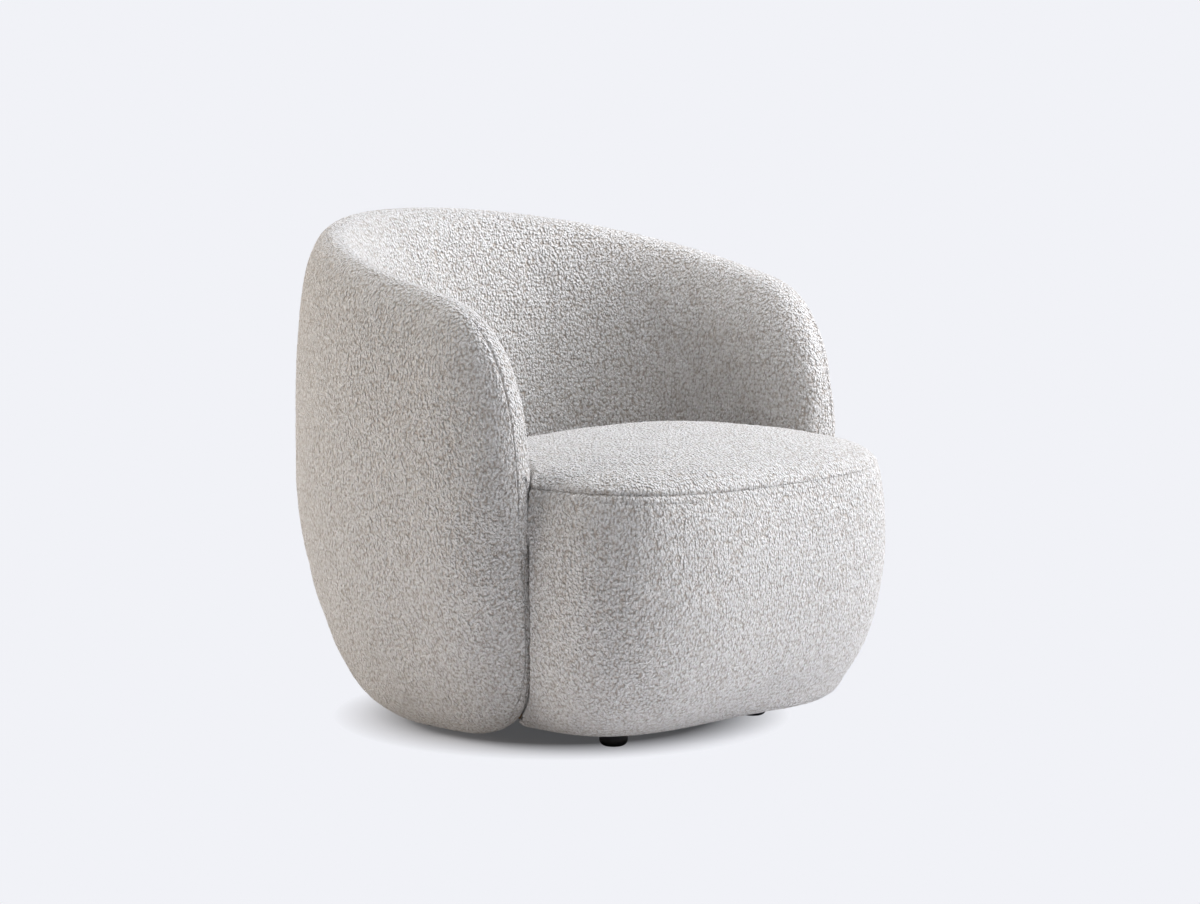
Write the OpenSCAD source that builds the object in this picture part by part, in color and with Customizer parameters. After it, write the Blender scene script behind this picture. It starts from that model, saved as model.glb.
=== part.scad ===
// Tub chair: an upholstered tub of one back and two arms, a bulging seat between them, four low feet.
// Millimetres, +Z up, the seat faces -Y. The origin is on the floor under the middle of the chair.

/* [Chair] */
// Width over both arms
chair_w = 796; // [740:2:860]
// Depth from the seat's front to the back
chair_d = 822; // [790:2:860]
// Height of the rim at the middle of the back
chair_h = 730; // [680:2:780]
// Height of the rim's slope where it reaches the arm noses
arm_h = 600; // [560:2:640]

/* [Tub wall] */
// Thickness of the padded wall
wall_t = 118; // [112:1:126]
// Length of each arm in front of the half circle of the back
arm_run = 228; // [210:1:240]
// Radius of the arms' slight turn inwards
arm_turn_r = 1750; // [1500:50:4000]
// How much thicker the back is at seat height than at the rim
back_slope = 26; // [0:1:32]
// Gap between the floor and the arms
tub_lift = 13; // [8:1:18]
// Rise of the tub's lower edge from the arms to the back
back_lift = 29; // [20:1:36]
// How far the wall is drawn in at the floor
tuck = 80; // [60:1:90]
// Height at which the wall starts to draw in
tuck_z = 346; // [310:1:380]

/* [Arm noses] */
// Height of the foremost point of a nose
nose_z = 285; // [265:1:305]
// Length of the round over the top of a nose
nose_top_run = 152; // [130:1:180]
// Length of the round under a nose
nose_low_run = 180; // [150:1:200]
// Length over which a nose thins out, seen from above
nose_side_run = 124; // [105:1:140]
// Length of the foam block in front of the frame
nose_block = 80; // [74:1:90]

/* [Seat] */
// How far each arm stands out beyond the seat's side
seat_side_in = 73; // [68:1:83]
// Depth of the rounded front part of the seat
seat_front_d = 258; // [250:1:264]
// Height of the widest line around the seat
seat_mid_z = 261; // [240:1:275]
// Height of the seat's upper edge
seat_edge_z = 398; // [388:1:405]
// Height of the seat's underside
seat_low_z = 27; // [22:1:32]
// Rise of the cushion above its edge
seat_crown = 34; // [20:1:40]
// How much lower the cushion lies at the back
seat_fall = 56; // [30:1:60]
// How far the seat's sides are drawn in at the bottom
seat_low_in_x = 92; // [80:1:96]
// How far the seat's front is drawn in at the bottom
seat_low_in_y = 123; // [110:1:128]
// How far the seat is drawn in at its upper edge
seat_top_in = 22; // [14:1:28]
// Height of the seam between the top cover and the border
seam_z = 365; // [355:1:372]

/* [Covers and padding] */
// Thickness of the looped wool cover
cover_t = 3; // [2:0.5:4]
// Thinnest foam over the frame
foam_min = 5; // [4:0.5:6]
// Height of the foam roll on the rim
rim_foam_h = 60; // [56:1:68]
// Thickness of the wadding over the seat foam
wadding_t = 12; // [8:1:16]

/* [Tub frame] */
// Thickness of the plywood
ply_t = 18; // [15:1:18]
// Thickness of the board that faces the ribs
facing_t = 4; // [3:0.5:5]
// Distance from the wall's middle to the outer facing
frame_out = 34; // [30:1:36]
// Distance from the wall's middle to the inner facing
frame_in = 23; // [20:1:26]
// Height of the base rail's underside
base_rail_z = 60; // [58:1:64]
// Width of the deck's edge between the opening and the side of the seat box
deck_edge = 22; // [20:1:30]

/* [Seat frame] */
// Foam between the seat's side and the seat box
side_foam = 125; // [124:1:127]
// Foam between the seat's front and the seat box
front_foam = 111; // [109:1:121]
// Distance from the back's middle line to the seat box
box_rear_gap = 208; // [206:1:216]
// Thickness of the box's boards
board_t = 18; // [15:1:18]
// Height of the deck's underside
deck_z = 264; // [258:1:270]
// Distance from the arms' middle line to the deck
deck_side_gap = 109; // [106:1:114]
// Distance from the back's middle line to the deck
deck_rear_gap = 120; // [116:1:126]
// Distance from the back's middle line to the rounded back of the base plate
base_plate_gap = 101; // [99:1:111]
// Width of a webbing strap
strap_w = 55; // [40:1:60]
// Number of webbing straps
strap_count = 6; // [4:1:6]

/* [Feet and fasteners] */
// Distance from the seat box's side to the middle of a front foot
foot_side_in = 50; // [28:1:60]
// Distance from the seat's front to the middle of a front foot
foot_front_in = 196; // [171:1:206]
// Distance from the seat box's side to the middle of a rear foot
foot_rear_side_in = 90; // [84:1:110]
// Distance from the back's middle line to the middle of a rear foot
foot_rear_in = 166; // [162:1:202]
// Diameter of a foot at its top
foot_d = 40; // [36:1:44]
// Diameter of the face that a foot stands on
foot_face_d = 22; // [18:1:26]
// Thread diameter of the bolts and studs
thread_d = 8; // [6:1:8]
// Distance of the side bolts from the deck's opening
bolt_in = 35; // [34:1:38]
// Distance of the front bolts from the front of the seat rail
front_bolt_in = 66.3; // [60:0.1:80]
// Distance of the middle bolts from the back of the seat rail's opening
middle_bolt_in = 69.5; // [50:0.5:80]
// Distance of the rear bolts from the sides of the deck's opening
rear_bolt_in = 78; // [60:1:100]

/* [Hidden] */
$fa = 4;
$fs = 1.5;

// Clearance between layers, and between a layer and the frame
layer_gap = 0.3;
rib_gap = 3;
seat_gap = 3;
// Overrun of cuts
cut = 1;

// Shape of the wall's section, of the noses and of the tuck
side_power = 2.4;
rim_power = 2.95;
nose_power = 2.85;
tuck_power = 1.54;
tuck_fade_share = 0.15;
seat_power = 3.5;
// Angle of the seam on the outer side of the rim, in the wall's section
seam_a = 81;
seam_half_a = 0.3;

// Middle line of the wall, seen from above
tub_r = chair_w/2 - wall_t/2;
tub_y = chair_d/2 - chair_w/2;
bend_run = tub_r*PI/2;
half_run = bend_run + arm_run;
turn = 180/PI;
rear_y = tub_y + tub_r;
nose_y = path_y(half_run);
rim_slope = (chair_h - arm_h)/(rear_y - nose_y);
frame_run = half_run - nose_block;
// Half height of the wall that the layers' insets are measured against
ref_half_h = (arm_h - tub_lift)/2;

// Heights of the frame
base_rail_top = base_rail_z + ply_t;
deck_top = deck_z + ply_t;
seat_rail_top = deck_top + ply_t;
web_t = 2;
base_plate_z = seat_low_z + cover_t;
base_plate_top = base_plate_z + ply_t;
cloth_t = 1;
foot_h = base_plate_z - cloth_t;
rail_cut_drop = rim_foam_h + ply_t*sqrt(1 + rim_slope*rim_slope);
cloth_end_z = base_rail_z + ply_t/2;
edge_step = 6;
foam_e = cover_t + layer_gap;

// Seat frame, set by the tub around it and by the foam over it
seat_w = chair_w - 2*seat_side_in;
box_w = seat_w - 2*side_foam;
box_front = chair_d/2 - front_foam;
box_back = rear_y - box_rear_gap;
deck_open_w = box_w - 2*deck_edge;
deck_w = 2*(tub_r - deck_side_gap);
deck_back = rear_y - deck_rear_gap;
base_plate_r = tub_r - base_plate_gap;

// Seat outline
seat_cy = -chair_d/2 + seat_front_d;
seat_centre = [0, -wall_t/2];
seat_roll = 14;
seat_fall_run = 400;
pad_bottom_z = seat_rail_top + layer_gap;
tuck_in_z = pad_bottom_z + wall_t/4;
wall_pad_z = pad_bottom_z + rib_gap;
rail_open_y = deck_back - 2*board_t;
rail_front_y = path_y(frame_run) - wall_t/2*cos(path_a(frame_run)) + layer_gap;
corner_share = 0.85;
seat_rear_d = frame_run + nose_block/8;
flange_w = 8;

// Stations along the wall and rows across it
station_n = 14;
nose_shares = [0.74, 0.5, 0.3, 0.15, 0.06, 0.015, 0.001];
side_cells = 3;
cluster_shares = [0, 0.35, 0.62, 0.82, 0.93, 0.985];
crown_shares = [0.965, 0.85, 0.65, 0.4, 0.15];
front_steps = 9;
rear_steps = 9;

// Ribs: places along the wall
rib_names = ["back", "rear_left", "rear_right", "side_left", "side_right", "arm_left", "arm_right"];
rib_shares = [0, -0.38, 0.38, -0.74, 0.74, -0.985, 0.985];

// Fasteners
fit_gap = 0.1;
head_d = 2*thread_d;
head_h = 0.55*thread_d;
washer_d = 2.4*thread_d;
washer_t = 0.2*thread_d;
nut_d = 2.7*thread_d;
nut_barrel_d = 1.4*thread_d;
nut_flange_t = 0.2*thread_d;
bolt_x = deck_open_w/2 + bolt_in;
front_bolt_y = rail_front_y + front_bolt_in;
middle_bolt_y = rail_open_y - middle_bolt_in;
rear_bolt_x = deck_open_w/2 - rear_bolt_in;
bolt_places = [
    [-bolt_x, front_bolt_y], [bolt_x, front_bolt_y],
    [-bolt_x, middle_bolt_y], [bolt_x, middle_bolt_y],
    [-rear_bolt_x, deck_back - board_t], [rear_bolt_x, deck_back - board_t]
];
foot_x = box_w/2 - foot_side_in;
foot_front = chair_d/2 - foot_front_in;
foot_rear_x = box_w/2 - foot_rear_side_in;
foot_rear = rear_y - foot_rear_in;
foot_places = [
    [-foot_x, -foot_front], [foot_x, -foot_front],
    [-foot_rear_x, foot_rear], [foot_rear_x, foot_rear]
];
foot_names = ["foot_front_left", "foot_front_right", "foot_rear_left", "foot_rear_right"];

// Colours
wool = "#d9d5d0";
foam = "#efe3b4";
soft_white = "#f4f4f2";
plywood = "#d8b687";
board = "#b98e5f";
black = "#262627";
steel = "#b9bcc0";

function spow(v, p) = sign(v)*pow(abs(v), p);
function mix(a, b, t) = a + (b - a)*t;
function limit(v, low, high) = min(max(v, low), high);
function ease(t) = let (q = limit(t, 0, 1)) q*q*(3 - 2*q);
function flat(lists) = [for (l = lists) each l];
function turned(list) = [for (i = [len(list) - 1:-1:0]) list[i]];

// The wall's middle line: d is the distance along it from the middle of the back, negative on the left
function path_a(d) = let (q = abs(d)) q < bend_run ? q/tub_r*turn : 90 + (q - bend_run)/arm_turn_r*turn;
function path_x(d) = let (a = path_a(d)) abs(d) < bend_run ? tub_r*sin(a) : tub_r + arm_turn_r*(sin(a) - 1);
function path_y(d) = tub_y + (abs(d) < bend_run ? tub_r : arm_turn_r)*cos(path_a(d));
function place(d, off, z) = [
    (d < 0 ? -1 : 1)*(path_x(d) + off*sin(path_a(d))),
    path_y(d) + off*cos(path_a(d)),
    z
];

// The wall's section at d: its top, its bottom, its thickness and how it leans
function to_nose(d) = max(half_run - abs(d), 0);
function round_in(r, run) = pow(max(1 - pow(max(1 - r/run, 0), nose_power), 0), 1/nose_power);
function rim_z(y) = chair_h - rim_slope*(rear_y - y);
function edge_z(d) = tub_lift + back_lift*pow(max(path_y(d) - tub_y, 0)/tub_r, 2);
function top_z(d) = nose_z + (rim_z(path_y(d)) - nose_z)*round_in(to_nose(d), nose_top_run);
function low_z(d) = nose_z - (nose_z - edge_z(d))*round_in(to_nose(d), nose_low_run);
function mid_z(d) = (top_z(d) + low_z(d))/2;
function half_z(d) = (top_z(d) - low_z(d))/2;
function half_t(d) = wall_t/2*sqrt(1 - pow(max(1 - to_nose(d)/nose_side_run, 0), 2));
function tuck_in(d, z) =
    -tuck*pow(max(tuck_z - z, 0)/tuck_z, tuck_power)*(1 - tuck_fade_share*abs(d)/half_run);
function slope_in(d, z) = back_slope
    *pow(cos(90*min(abs(d)/bend_run, 1)), 2)
    *ease((rim_z(path_y(d)) - z)/(rim_z(path_y(d)) - seat_edge_z));
// How full the section is at height z, from 0 at its top and bottom to 1 at its middle
function full(d, z) = pow(max(1 - pow(abs(z - mid_z(d))/half_z(d), rim_power), 0), 1/side_power);
function outer_off(d, z, e = 0) = full(d, z)*half_t(d) - e + tuck_in(d, z);
function inner_off(d, z, e = 0) = e - full(d, z)*(half_t(d) + slope_in(d, z)) + tuck_in(d, z);

// A point of the wall's surface: a is the angle in the section, e the inset below the surface
function wall_point(d, a, e) = let (
    cu = spow(cos(a), 2/side_power),
    cv = spow(sin(a), 2/rim_power),
    z = mid_z(d) + half_z(d)*(1 - e/ref_half_h)*cv,
    thick = half_t(d)*(1 - 2*e/wall_t) + (cu < 0 ? slope_in(d, z) : 0),
    back_off = e*max(1 - to_nose(d)/nose_block, 0)
) place(d - sign(d)*back_off, thick*cu + tuck_in(d, z), z);
// The section angle at which the foam's surface has height z on the outer side
function angle_at(d, z) =
    asin(limit(spow((z - mid_z(d))/half_z(d)/(1 - foam_e/ref_half_h), rim_power/2), -1, 1));
// Height of the rim's slope over the point at an offset, less a drop
function cut_z(d, off, drop) = rim_z(path_y(d) + off*cos(path_a(d))) - drop;

// Section angles of the rows that all layers of the wall share, in the order in which they go round:
// the inner foot, the bottom, the outer side, the rim and the inner side
function bottom_rows(d) = let (
    a = angle_at(d, base_rail_z - edge_step),
    seam = -seam_a - seam_half_a
) [-180 - a, mix(-180 - a, seam, 0.5), seam, -seam_a + seam_half_a, a];
// Height at which the foam's surface, on side 1 outside or -1 inside, meets the rim foam's underside
function meet_z(d, side) = let (z = cut_z(d, side*wall_t/3, rim_foam_h))
    cut_z(d, side > 0 ? outer_off(d, z, foam_e) : inner_off(d, z, foam_e), rim_foam_h) - layer_gap;
function outer_zs(d) = concat(
    [for (j = [0:side_cells - 1]) mix(base_rail_z, mid_z(d), j/side_cells)],
    [for (j = [0:side_cells]) mix(mid_z(d), meet_z(d, 1), j/side_cells)]
);
function inner_zs(d) = [for (j = [0:side_cells]) mix(meet_z(d, -1), wall_pad_z, j/side_cells)];
function outer_rows(d) = [for (z = outer_zs(d)) angle_at(d, z)];
function rim_rows(d) = let (
    a = angle_at(d, meet_z(d, 1) + edge_step),
    b = 180 - angle_at(d, meet_z(d, -1) + edge_step)
) [a, mix(a, seam_a, 0.5), seam_a - seam_half_a, seam_a + seam_half_a, 90, mix(90, b, 0.5), b];
function inner_rows(d) = [for (z = inner_zs(d)) 180 - angle_at(d, z)];
function foot_rows(d) = [for (z = [(wall_pad_z + cloth_end_z)/2, cloth_end_z]) 180 - angle_at(d, z)];
function rows_at(q) = concat(bottom_rows(q), outer_rows(q), rim_rows(q), inner_rows(q), foot_rows(q));
function rows(d) = rows_at(min(abs(d), frame_run));

// Numbers of the rows at which the layers begin and end
outer_row_0 = 5;
rim_row_0 = outer_row_0 + 2*side_cells + 1;
inner_row_0 = rim_row_0 + 7;
foot_row_0 = inner_row_0 + side_cells + 1;
row_n = foot_row_0 + 2;
low_seam_row = 3;
rim_seam_row = rim_row_0 + 2;

// Where the frame's facings lie
function facing_out(d, z) =
    min(frame_out, full(d, z)*half_t(d) - cover_t - foam_min) + tuck_in(d, z);
function facing_in(d, z) =
    -min(frame_in, full(d, z)*half_t(d) - cover_t - foam_min) + tuck_in(d, z);

frame_stations = [for (i = [-station_n:station_n]) frame_run*i/station_n];
nose_stations = [for (s = nose_shares) half_run - nose_block*s];
cover_stations = concat([for (d = turned(nose_stations)) -d], frame_stations, nose_stations);
nose_n = len(nose_shares);

// A quad as two triangles
function quad(a, b, c, d) = [[a, b, c], [a, c, d]];

// Closed solid between two grids of points that lie over each other
module slab(over, under) {
    n = len(over);
    m = len(over[0]);
    function at(side, i, j) = side*n*m + i*m + j;
    polyhedron(
        points = concat(flat(over), flat(under)),
        faces = concat(
            [for (i = [0:n - 2], j = [0:m - 2])
                each quad(at(0, i, j), at(0, i + 1, j), at(0, i + 1, j + 1), at(0, i, j + 1))],
            [for (i = [0:n - 2], j = [0:m - 2])
                each quad(at(1, i, j), at(1, i, j + 1), at(1, i + 1, j + 1), at(1, i + 1, j))],
            [for (i = [0:n - 2]) each quad(at(0, i, 0), at(1, i, 0), at(1, i + 1, 0), at(0, i + 1, 0))],
            [for (i = [0:n - 2])
                each quad(at(0, i, m - 1), at(0, i + 1, m - 1), at(1, i + 1, m - 1), at(1, i, m - 1))],
            [for (j = [0:m - 2]) each quad(at(0, 0, j), at(0, 0, j + 1), at(1, 0, j + 1), at(1, 0, j))],
            [for (j = [0:m - 2])
                each quad(at(0, n - 1, j), at(1, n - 1, j), at(1, n - 1, j + 1), at(0, n - 1, j + 1))]
        ),
        convexity = 8
    );
}

// Closed shell of the cells for which keep[i][j] is true, in a grid whose rows go round the wall
module patch(over, under, keep) {
    n = len(over);
    m = len(over[0]);
    function at(side, i, j) = side*n*m + i*m + j%m;
    function kept(i, j) = i >= 0 && i < n - 1 && keep[i][(j + m)%m];
    polyhedron(
        points = concat(flat(over), flat(under)),
        faces = [for (i = [0:n - 2], j = [0:m - 1]) if (kept(i, j)) each concat(
            quad(at(0, i, j), at(0, i + 1, j), at(0, i + 1, j + 1), at(0, i, j + 1)),
            quad(at(1, i, j), at(1, i, j + 1), at(1, i + 1, j + 1), at(1, i + 1, j)),
            kept(i, j - 1) ? [] : quad(at(0, i, j), at(1, i, j), at(1, i + 1, j), at(0, i + 1, j)),
            kept(i, j + 1) ? []
                : quad(at(0, i, j + 1), at(0, i + 1, j + 1), at(1, i + 1, j + 1), at(1, i, j + 1)),
            kept(i - 1, j) ? [] : quad(at(0, i, j), at(0, i, j + 1), at(1, i, j + 1), at(1, i, j)),
            kept(i + 1, j) ? []
                : quad(at(0, i + 1, j), at(1, i + 1, j), at(1, i + 1, j + 1), at(0, i + 1, j + 1))
        )],
        convexity = 8
    );
}

// Solid through closed rings, each end closed to its middle point
module ring_stack(rings, first_mid, last_mid) {
    n = len(rings);
    m = len(rings[0]);
    polyhedron(
        points = concat(flat(rings), [first_mid, last_mid]),
        faces = concat(
            [for (i = [0:n - 2], j = [0:m - 1])
                each quad(i*m + j, (i + 1)*m + j, (i + 1)*m + (j + 1)%m, i*m + (j + 1)%m)],
            [for (j = [0:m - 1]) [n*m, j, (j + 1)%m]],
            [for (j = [0:m - 1]) [n*m + 1, (n - 1)*m + (j + 1)%m, (n - 1)*m + j]]
        ),
        convexity = 8
    );
}

// Hood of closed rings over an inner hood, open at the first ring, closed at the top
module hood(over, under, over_mid, under_mid) {
    n = len(over);
    m = len(over[0]);
    function at(side, i, j) = side*n*m + i*m + j%m;
    polyhedron(
        points = concat(flat(over), flat(under), [over_mid, under_mid]),
        faces = concat(
            [for (i = [0:n - 2], j = [0:m - 1])
                each quad(at(0, i, j), at(0, i + 1, j), at(0, i + 1, j + 1), at(0, i, j + 1))],
            [for (i = [0:n - 2], j = [0:m - 1])
                each quad(at(1, i, j), at(1, i, j + 1), at(1, i + 1, j + 1), at(1, i + 1, j))],
            [for (j = [0:m - 1]) each quad(at(0, 0, j), at(0, 0, j + 1), at(1, 0, j + 1), at(1, 0, j))],
            [for (j = [0:m - 1]) [2*n*m, at(0, n - 1, j + 1), at(0, n - 1, j)]],
            [for (j = [0:m - 1]) [2*n*m + 1, at(1, n - 1, j), at(1, n - 1, j + 1)]]
        ),
        convexity = 8
    );
}

// Everything under the rim's slope, less a drop
module under_rim(drop) {
    far = chair_w;
    rotate([90, 0, 90])
        linear_extrude(2*far, center = true)
            polygon([[-far, 0], [far, 0], [far, rim_z(far) - drop], [-far, rim_z(-far) - drop]]);
}

// Outline of a rail between two offsets from the wall's middle line, at height z
function rail_points(z, out_in, in_in) = concat(
    [for (d = frame_stations) let (p = place(d, facing_out(d, z) - out_in, z)) [p.x, p.y]],
    turned([for (d = frame_stations) let (p = place(d, facing_in(d, z) + in_in, z)) [p.x, p.y]])
);

module base_rail() {
    color(plywood)
        translate([0, 0, base_rail_z])
            linear_extrude(ply_t)
                polygon(rail_points(base_rail_z, facing_t + layer_gap, 0));
}

// The seat rail closes the tub at seat height and is bolted down on the seat's deck
module seat_rail_outline() {
    z = deck_top;
    difference() {
        polygon([for (d = frame_stations)
            let (p = place(d, facing_out(d, z) - facing_t - rib_gap, z)) [p.x, max(p.y, rail_front_y)]]);
        translate([-deck_open_w/2, rail_front_y - cut])
            square([deck_open_w, rail_open_y - rail_front_y + cut]);
    }
}

module bolt_holes(d) {
    for (p = bolt_places)
        translate([p.x, p.y, deck_z - cut])
            cylinder(h = 2*ply_t + 2*cut, d = d);
}

module seat_rail() {
    color(plywood)
        difference() {
            translate([0, 0, deck_top])
                linear_extrude(ply_t)
                    seat_rail_outline();
            bolt_holes(thread_d + 2*fit_gap);
            for (p = bolt_places)
                translate([p.x, p.y, seat_rail_top - head_h - washer_t - fit_gap])
                    cylinder(h = ply_t, d = washer_d + 2*cut);
        }
}

module top_rail() {
    color(plywood)
        difference() {
            intersection() {
                linear_extrude(chair_h)
                    polygon(top_rail_points());
                under_rim(rim_foam_h);
            }
            under_rim(rail_cut_drop);
        }
}

function top_rail_points() = concat(
    [for (d = frame_stations)
        let (
            z = cut_z(d, frame_out, rim_foam_h),
            p = place(d, facing_out(d, z) - facing_t - rib_gap, z)
        ) [p.x, p.y]],
    turned([for (d = frame_stations)
        let (
            z = cut_z(d, -frame_in, rim_foam_h),
            p = place(d, facing_in(d, z) + facing_t + rib_gap, z)
        ) [p.x, p.y]])
);

// A board standing across the wall at d, from z0 to z1, in_gap behind the inner facing
module rib_board(d, z0, z1, in_gap) {
    q = abs(d);
    inside_zs = concat([base_rail_z], turned(inner_zs(q)));
    mirror([d < 0 ? 1 : 0, 0, 0])
        translate([path_x(q), path_y(q), 0])
            rotate([0, 0, 90 - path_a(q)])
                rotate([90, 0, 0])
                    linear_extrude(ply_t, center = true)
                        intersection() {
                            polygon(concat(
                                [for (z = outer_zs(q)) [facing_out(q, z) - facing_t - rib_gap, z]],
                                turned([for (z = inside_zs) [facing_in(q, z) + in_gap, z]])
                            ));
                            translate([-chair_w, z0])
                                square([2*chair_w, z1 - z0]);
                        }
}

// Half a rib's thickness back from the ends of the frame
function rib_shift(index) = sign(rib_shares[index])*(abs(rib_shares[index]) > 0.9 ? ply_t/4 : 0);
function rib_d(index) = frame_run*rib_shares[index] - rib_shift(index);

module lower_rib(index) {
    color(board)
        rib_board(rib_d(index), base_rail_top, deck_top, 0);
}

module upper_rib(index) {
    d = rib_d(index);
    color(board)
        intersection() {
            rib_board(d, seat_rail_top, rim_z(path_y(d)) - rim_foam_h, facing_t + rib_gap);
            under_rim(rail_cut_drop);
        }
}

// Points of a frame facing beside the foam's rows j0 to j1, moved outwards by out; the rows next to the
// rim foam lie on its slope
function facing_grid(j0, j1, out) = [for (d = frame_stations)
    let (list = rows(d), outside = cos(list[j0]) > 0)
    [for (j = [j0:j1])
        let (
            z = wall_point(d, list[j], foam_e).z,
            off = out + (outside ? facing_out(d, z) : facing_in(d, z)),
            at_rim = j == rim_row_0 - 1 || j == inner_row_0
        ) place(d, off, at_rim ? cut_z(d, off, rim_foam_h) : z)]];
function wall_grid(stations, j0, j1, e) = [for (d = stations)
    let (list = rows(d)) [for (j = [j0:j1]) wall_point(d, list[j], e)]];

module outer_facing() {
    color(board)
        slab(facing_grid(outer_row_0, rim_row_0 - 1, 0), facing_grid(outer_row_0, rim_row_0 - 1, -facing_t));
}

module inner_facing() {
    color(board)
        slab(facing_grid(inner_row_0, foot_row_0 - 1, 0), facing_grid(inner_row_0, foot_row_0 - 1, facing_t));
}

module outer_foam() {
    color(foam)
        slab(wall_grid(frame_stations, outer_row_0, rim_row_0 - 1, foam_e),
             facing_grid(outer_row_0, rim_row_0 - 1, layer_gap));
}

module inner_foam() {
    color(foam)
        slab(wall_grid(frame_stations, inner_row_0, foot_row_0 - 1, foam_e),
             facing_grid(inner_row_0, foot_row_0 - 1, -layer_gap));
}

// The foam roll on the rim stands on the top rail, the facings and the side foams
module rim_foam() {
    over = wall_grid(frame_stations, rim_row_0, inner_row_0 - 1, foam_e);
    color(foam)
        slab(over, [for (row = over) [for (p = row) [p.x, p.y, rim_z(p.y) - rim_foam_h + layer_gap]]]);
}

// The soft roll under the base rail
module bottom_foam() {
    over = wall_grid(frame_stations, 0, outer_row_0 - 1, foam_e);
    color(foam)
        slab(over, [for (row = over) [for (p = row) [p.x, p.y, base_rail_z - layer_gap]]]);
}

// The solid foam block of a nose, in front of the frame's end
module nose_foam(side) {
    first_d = frame_run + layer_gap;
    ds = [for (d = concat([first_d], nose_stations)) side*d];
    rings = [for (d = ds) let (list = rows(d)) [for (a = list) wall_point(d, a, foam_e)]];
    function mid(d) = place(d, tuck_in(d, mid_z(d)), mid_z(d));
    tip_d = side*(half_run - foam_e);
    color(foam)
        if (side > 0)
            ring_stack(rings, mid(ds[0]), mid(tip_d));
        else
            ring_stack(turned(rings), mid(tip_d), mid(ds[0]));
}

// Cell i of the stations and j of the rows lies in front of the frame, or in a cover
function in_nose(i) = i < nose_n || i >= len(cover_stations) - 1 - nose_n;
function in_outer(j) = j >= low_seam_row && j < rim_seam_row;
function in_inner(j) = j > rim_seam_row && j < foot_row_0 - 1;
function in_foot(j) = j >= foot_row_0 - 1 || j < low_seam_row - 1;
function in_cloth(j) = j == row_n - 1 || j < low_seam_row - 1;

module wall_cover(part) {
    last = row_n - 1;
    keep = [for (i = [0:len(cover_stations) - 2]) [for (j = [0:last])
        part == "outer" ? in_outer(j)
        : part == "inner" ? in_inner(j) || (in_nose(i) && in_foot(j))
        : !in_nose(i) && in_cloth(j)]];
    patch(wall_grid(cover_stations, 0, last, 0), wall_grid(cover_stations, 0, last, cover_t), keep);
}

module outer_cover() {
    color(wool)
        wall_cover("outer");
}

// In front of the frame the inner cover goes on round the nose to the seam under it
module inner_cover() {
    color(wool)
        wall_cover("inner");
}

// The dust cloth that closes the wall's underside behind the outer cover's lower edge
module wall_bottom_cloth() {
    color(black)
        wall_cover("cloth");
}

// The seat's outline: a rounded front, then along the inner side of the tub
function round_share(q) = 1 - sqrt(max(1 - q*q, 0));
function below_share(z) = round_share(limit((seat_mid_z - z)/(seat_mid_z - seat_low_z), 0, 1));
function above_share(z) = round_share(limit((z - seat_mid_z)/(seat_edge_z - seat_mid_z), 0, 0.995));
function seat_half_w(z, e) = seat_w/2 - seat_low_in_x*below_share(z) - seat_top_in*above_share(z) - e;
function seat_half_d(z, e) = seat_front_d - seat_low_in_y*below_share(z) - seat_top_in*above_share(z) - e;
// How far the nose has drawn back at height z
function nose_back(z) = let (
    up = z > nose_z,
    q = limit(up ? (z - nose_z)/(arm_h - nose_z) : (nose_z - z)/(nose_z - tub_lift), 0, 0.999),
    run = up ? nose_top_run : nose_low_run
) run*(1 - pow(1 - pow(q, nose_power), 1/nose_power));
function nose_d(z) = max(half_run - nose_back(z), seat_rear_d + nose_block/5);
// The seat's side follows the wall, but swells no further than its own widest line at that height
function within(p, e) = [min(p.x, seat_half_w(p.z, e)), p.y, p.z];
function inside_point(d, z, e) = within(place(d, inner_off(d, z) - seat_gap - e, z), e);
function corner_point(z, e) = let (d = nose_d(z))
    within(place(d + seat_gap + corner_share*e, tuck_in(d, z) - e, z), e);
function front_point(t, z, e) = let (
    hw = seat_half_w(z, e),
    hd = seat_half_d(z, e),
    y0 = path_y(nose_d(z)) - 2*seat_gap - e,
    a0 = asin(limit(spow((seat_cy - y0)/hd, seat_power/2), -1, 1)),
    a = mix(a0, 90, t)
) [hw*spow(cos(a), 2/seat_power), seat_cy - hd*spow(sin(a), 2/seat_power), z];

// Point i of the right half of the outline, counted from the rear; whole says that it starts at the back
function near_nose_n() = len(cluster_shares);
function inside_n(whole) = whole ? rear_steps + near_nose_n() : near_nose_n();
function half_n(whole) = inside_n(whole) + 1 + front_steps + 1;
function is_inside(i, whole) = i <= inside_n(whole);
function outline_point(i, z, e, whole) = let (n = inside_n(whole), k = whole ? i - rear_steps : i)
    i < n && k < 0 ? inside_point(seat_rear_d*i/rear_steps, z, e)
    : i < n ? inside_point(mix(seat_rear_d, nose_d(z), cluster_shares[k]), z, e)
    : i == n ? corner_point(z, e)
    : front_point((i - n - 1)/front_steps, z, e);

// Both halves of a row, the right half given
function mirrored(p) = [-p.x, p.y, p.z];
function full_ring(half) = concat([for (p = half) mirrored(p)], [for (i = [len(half) - 2:-1:1]) half[i]]);
function full_row(half) = concat([for (p = half) mirrored(p)], [for (i = [len(half) - 2:-1:0]) half[i]]);

// The cushion's top: crowned across and in front, falling towards the back
function seat_gauge(x, y) = let (
    gx = abs(x)/seat_half_w(seat_edge_z, 0),
    gy = max(seat_cy - y, 0)/seat_half_d(seat_edge_z, 0)
) min(pow(pow(gx, seat_power) + pow(gy, seat_power), 1/seat_power), 1);
function seat_top(x, y) = seat_edge_z + seat_crown*(1 - pow(seat_gauge(x, y), 2))
    - seat_fall*ease((y - seat_cy)/seat_fall_run);

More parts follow.
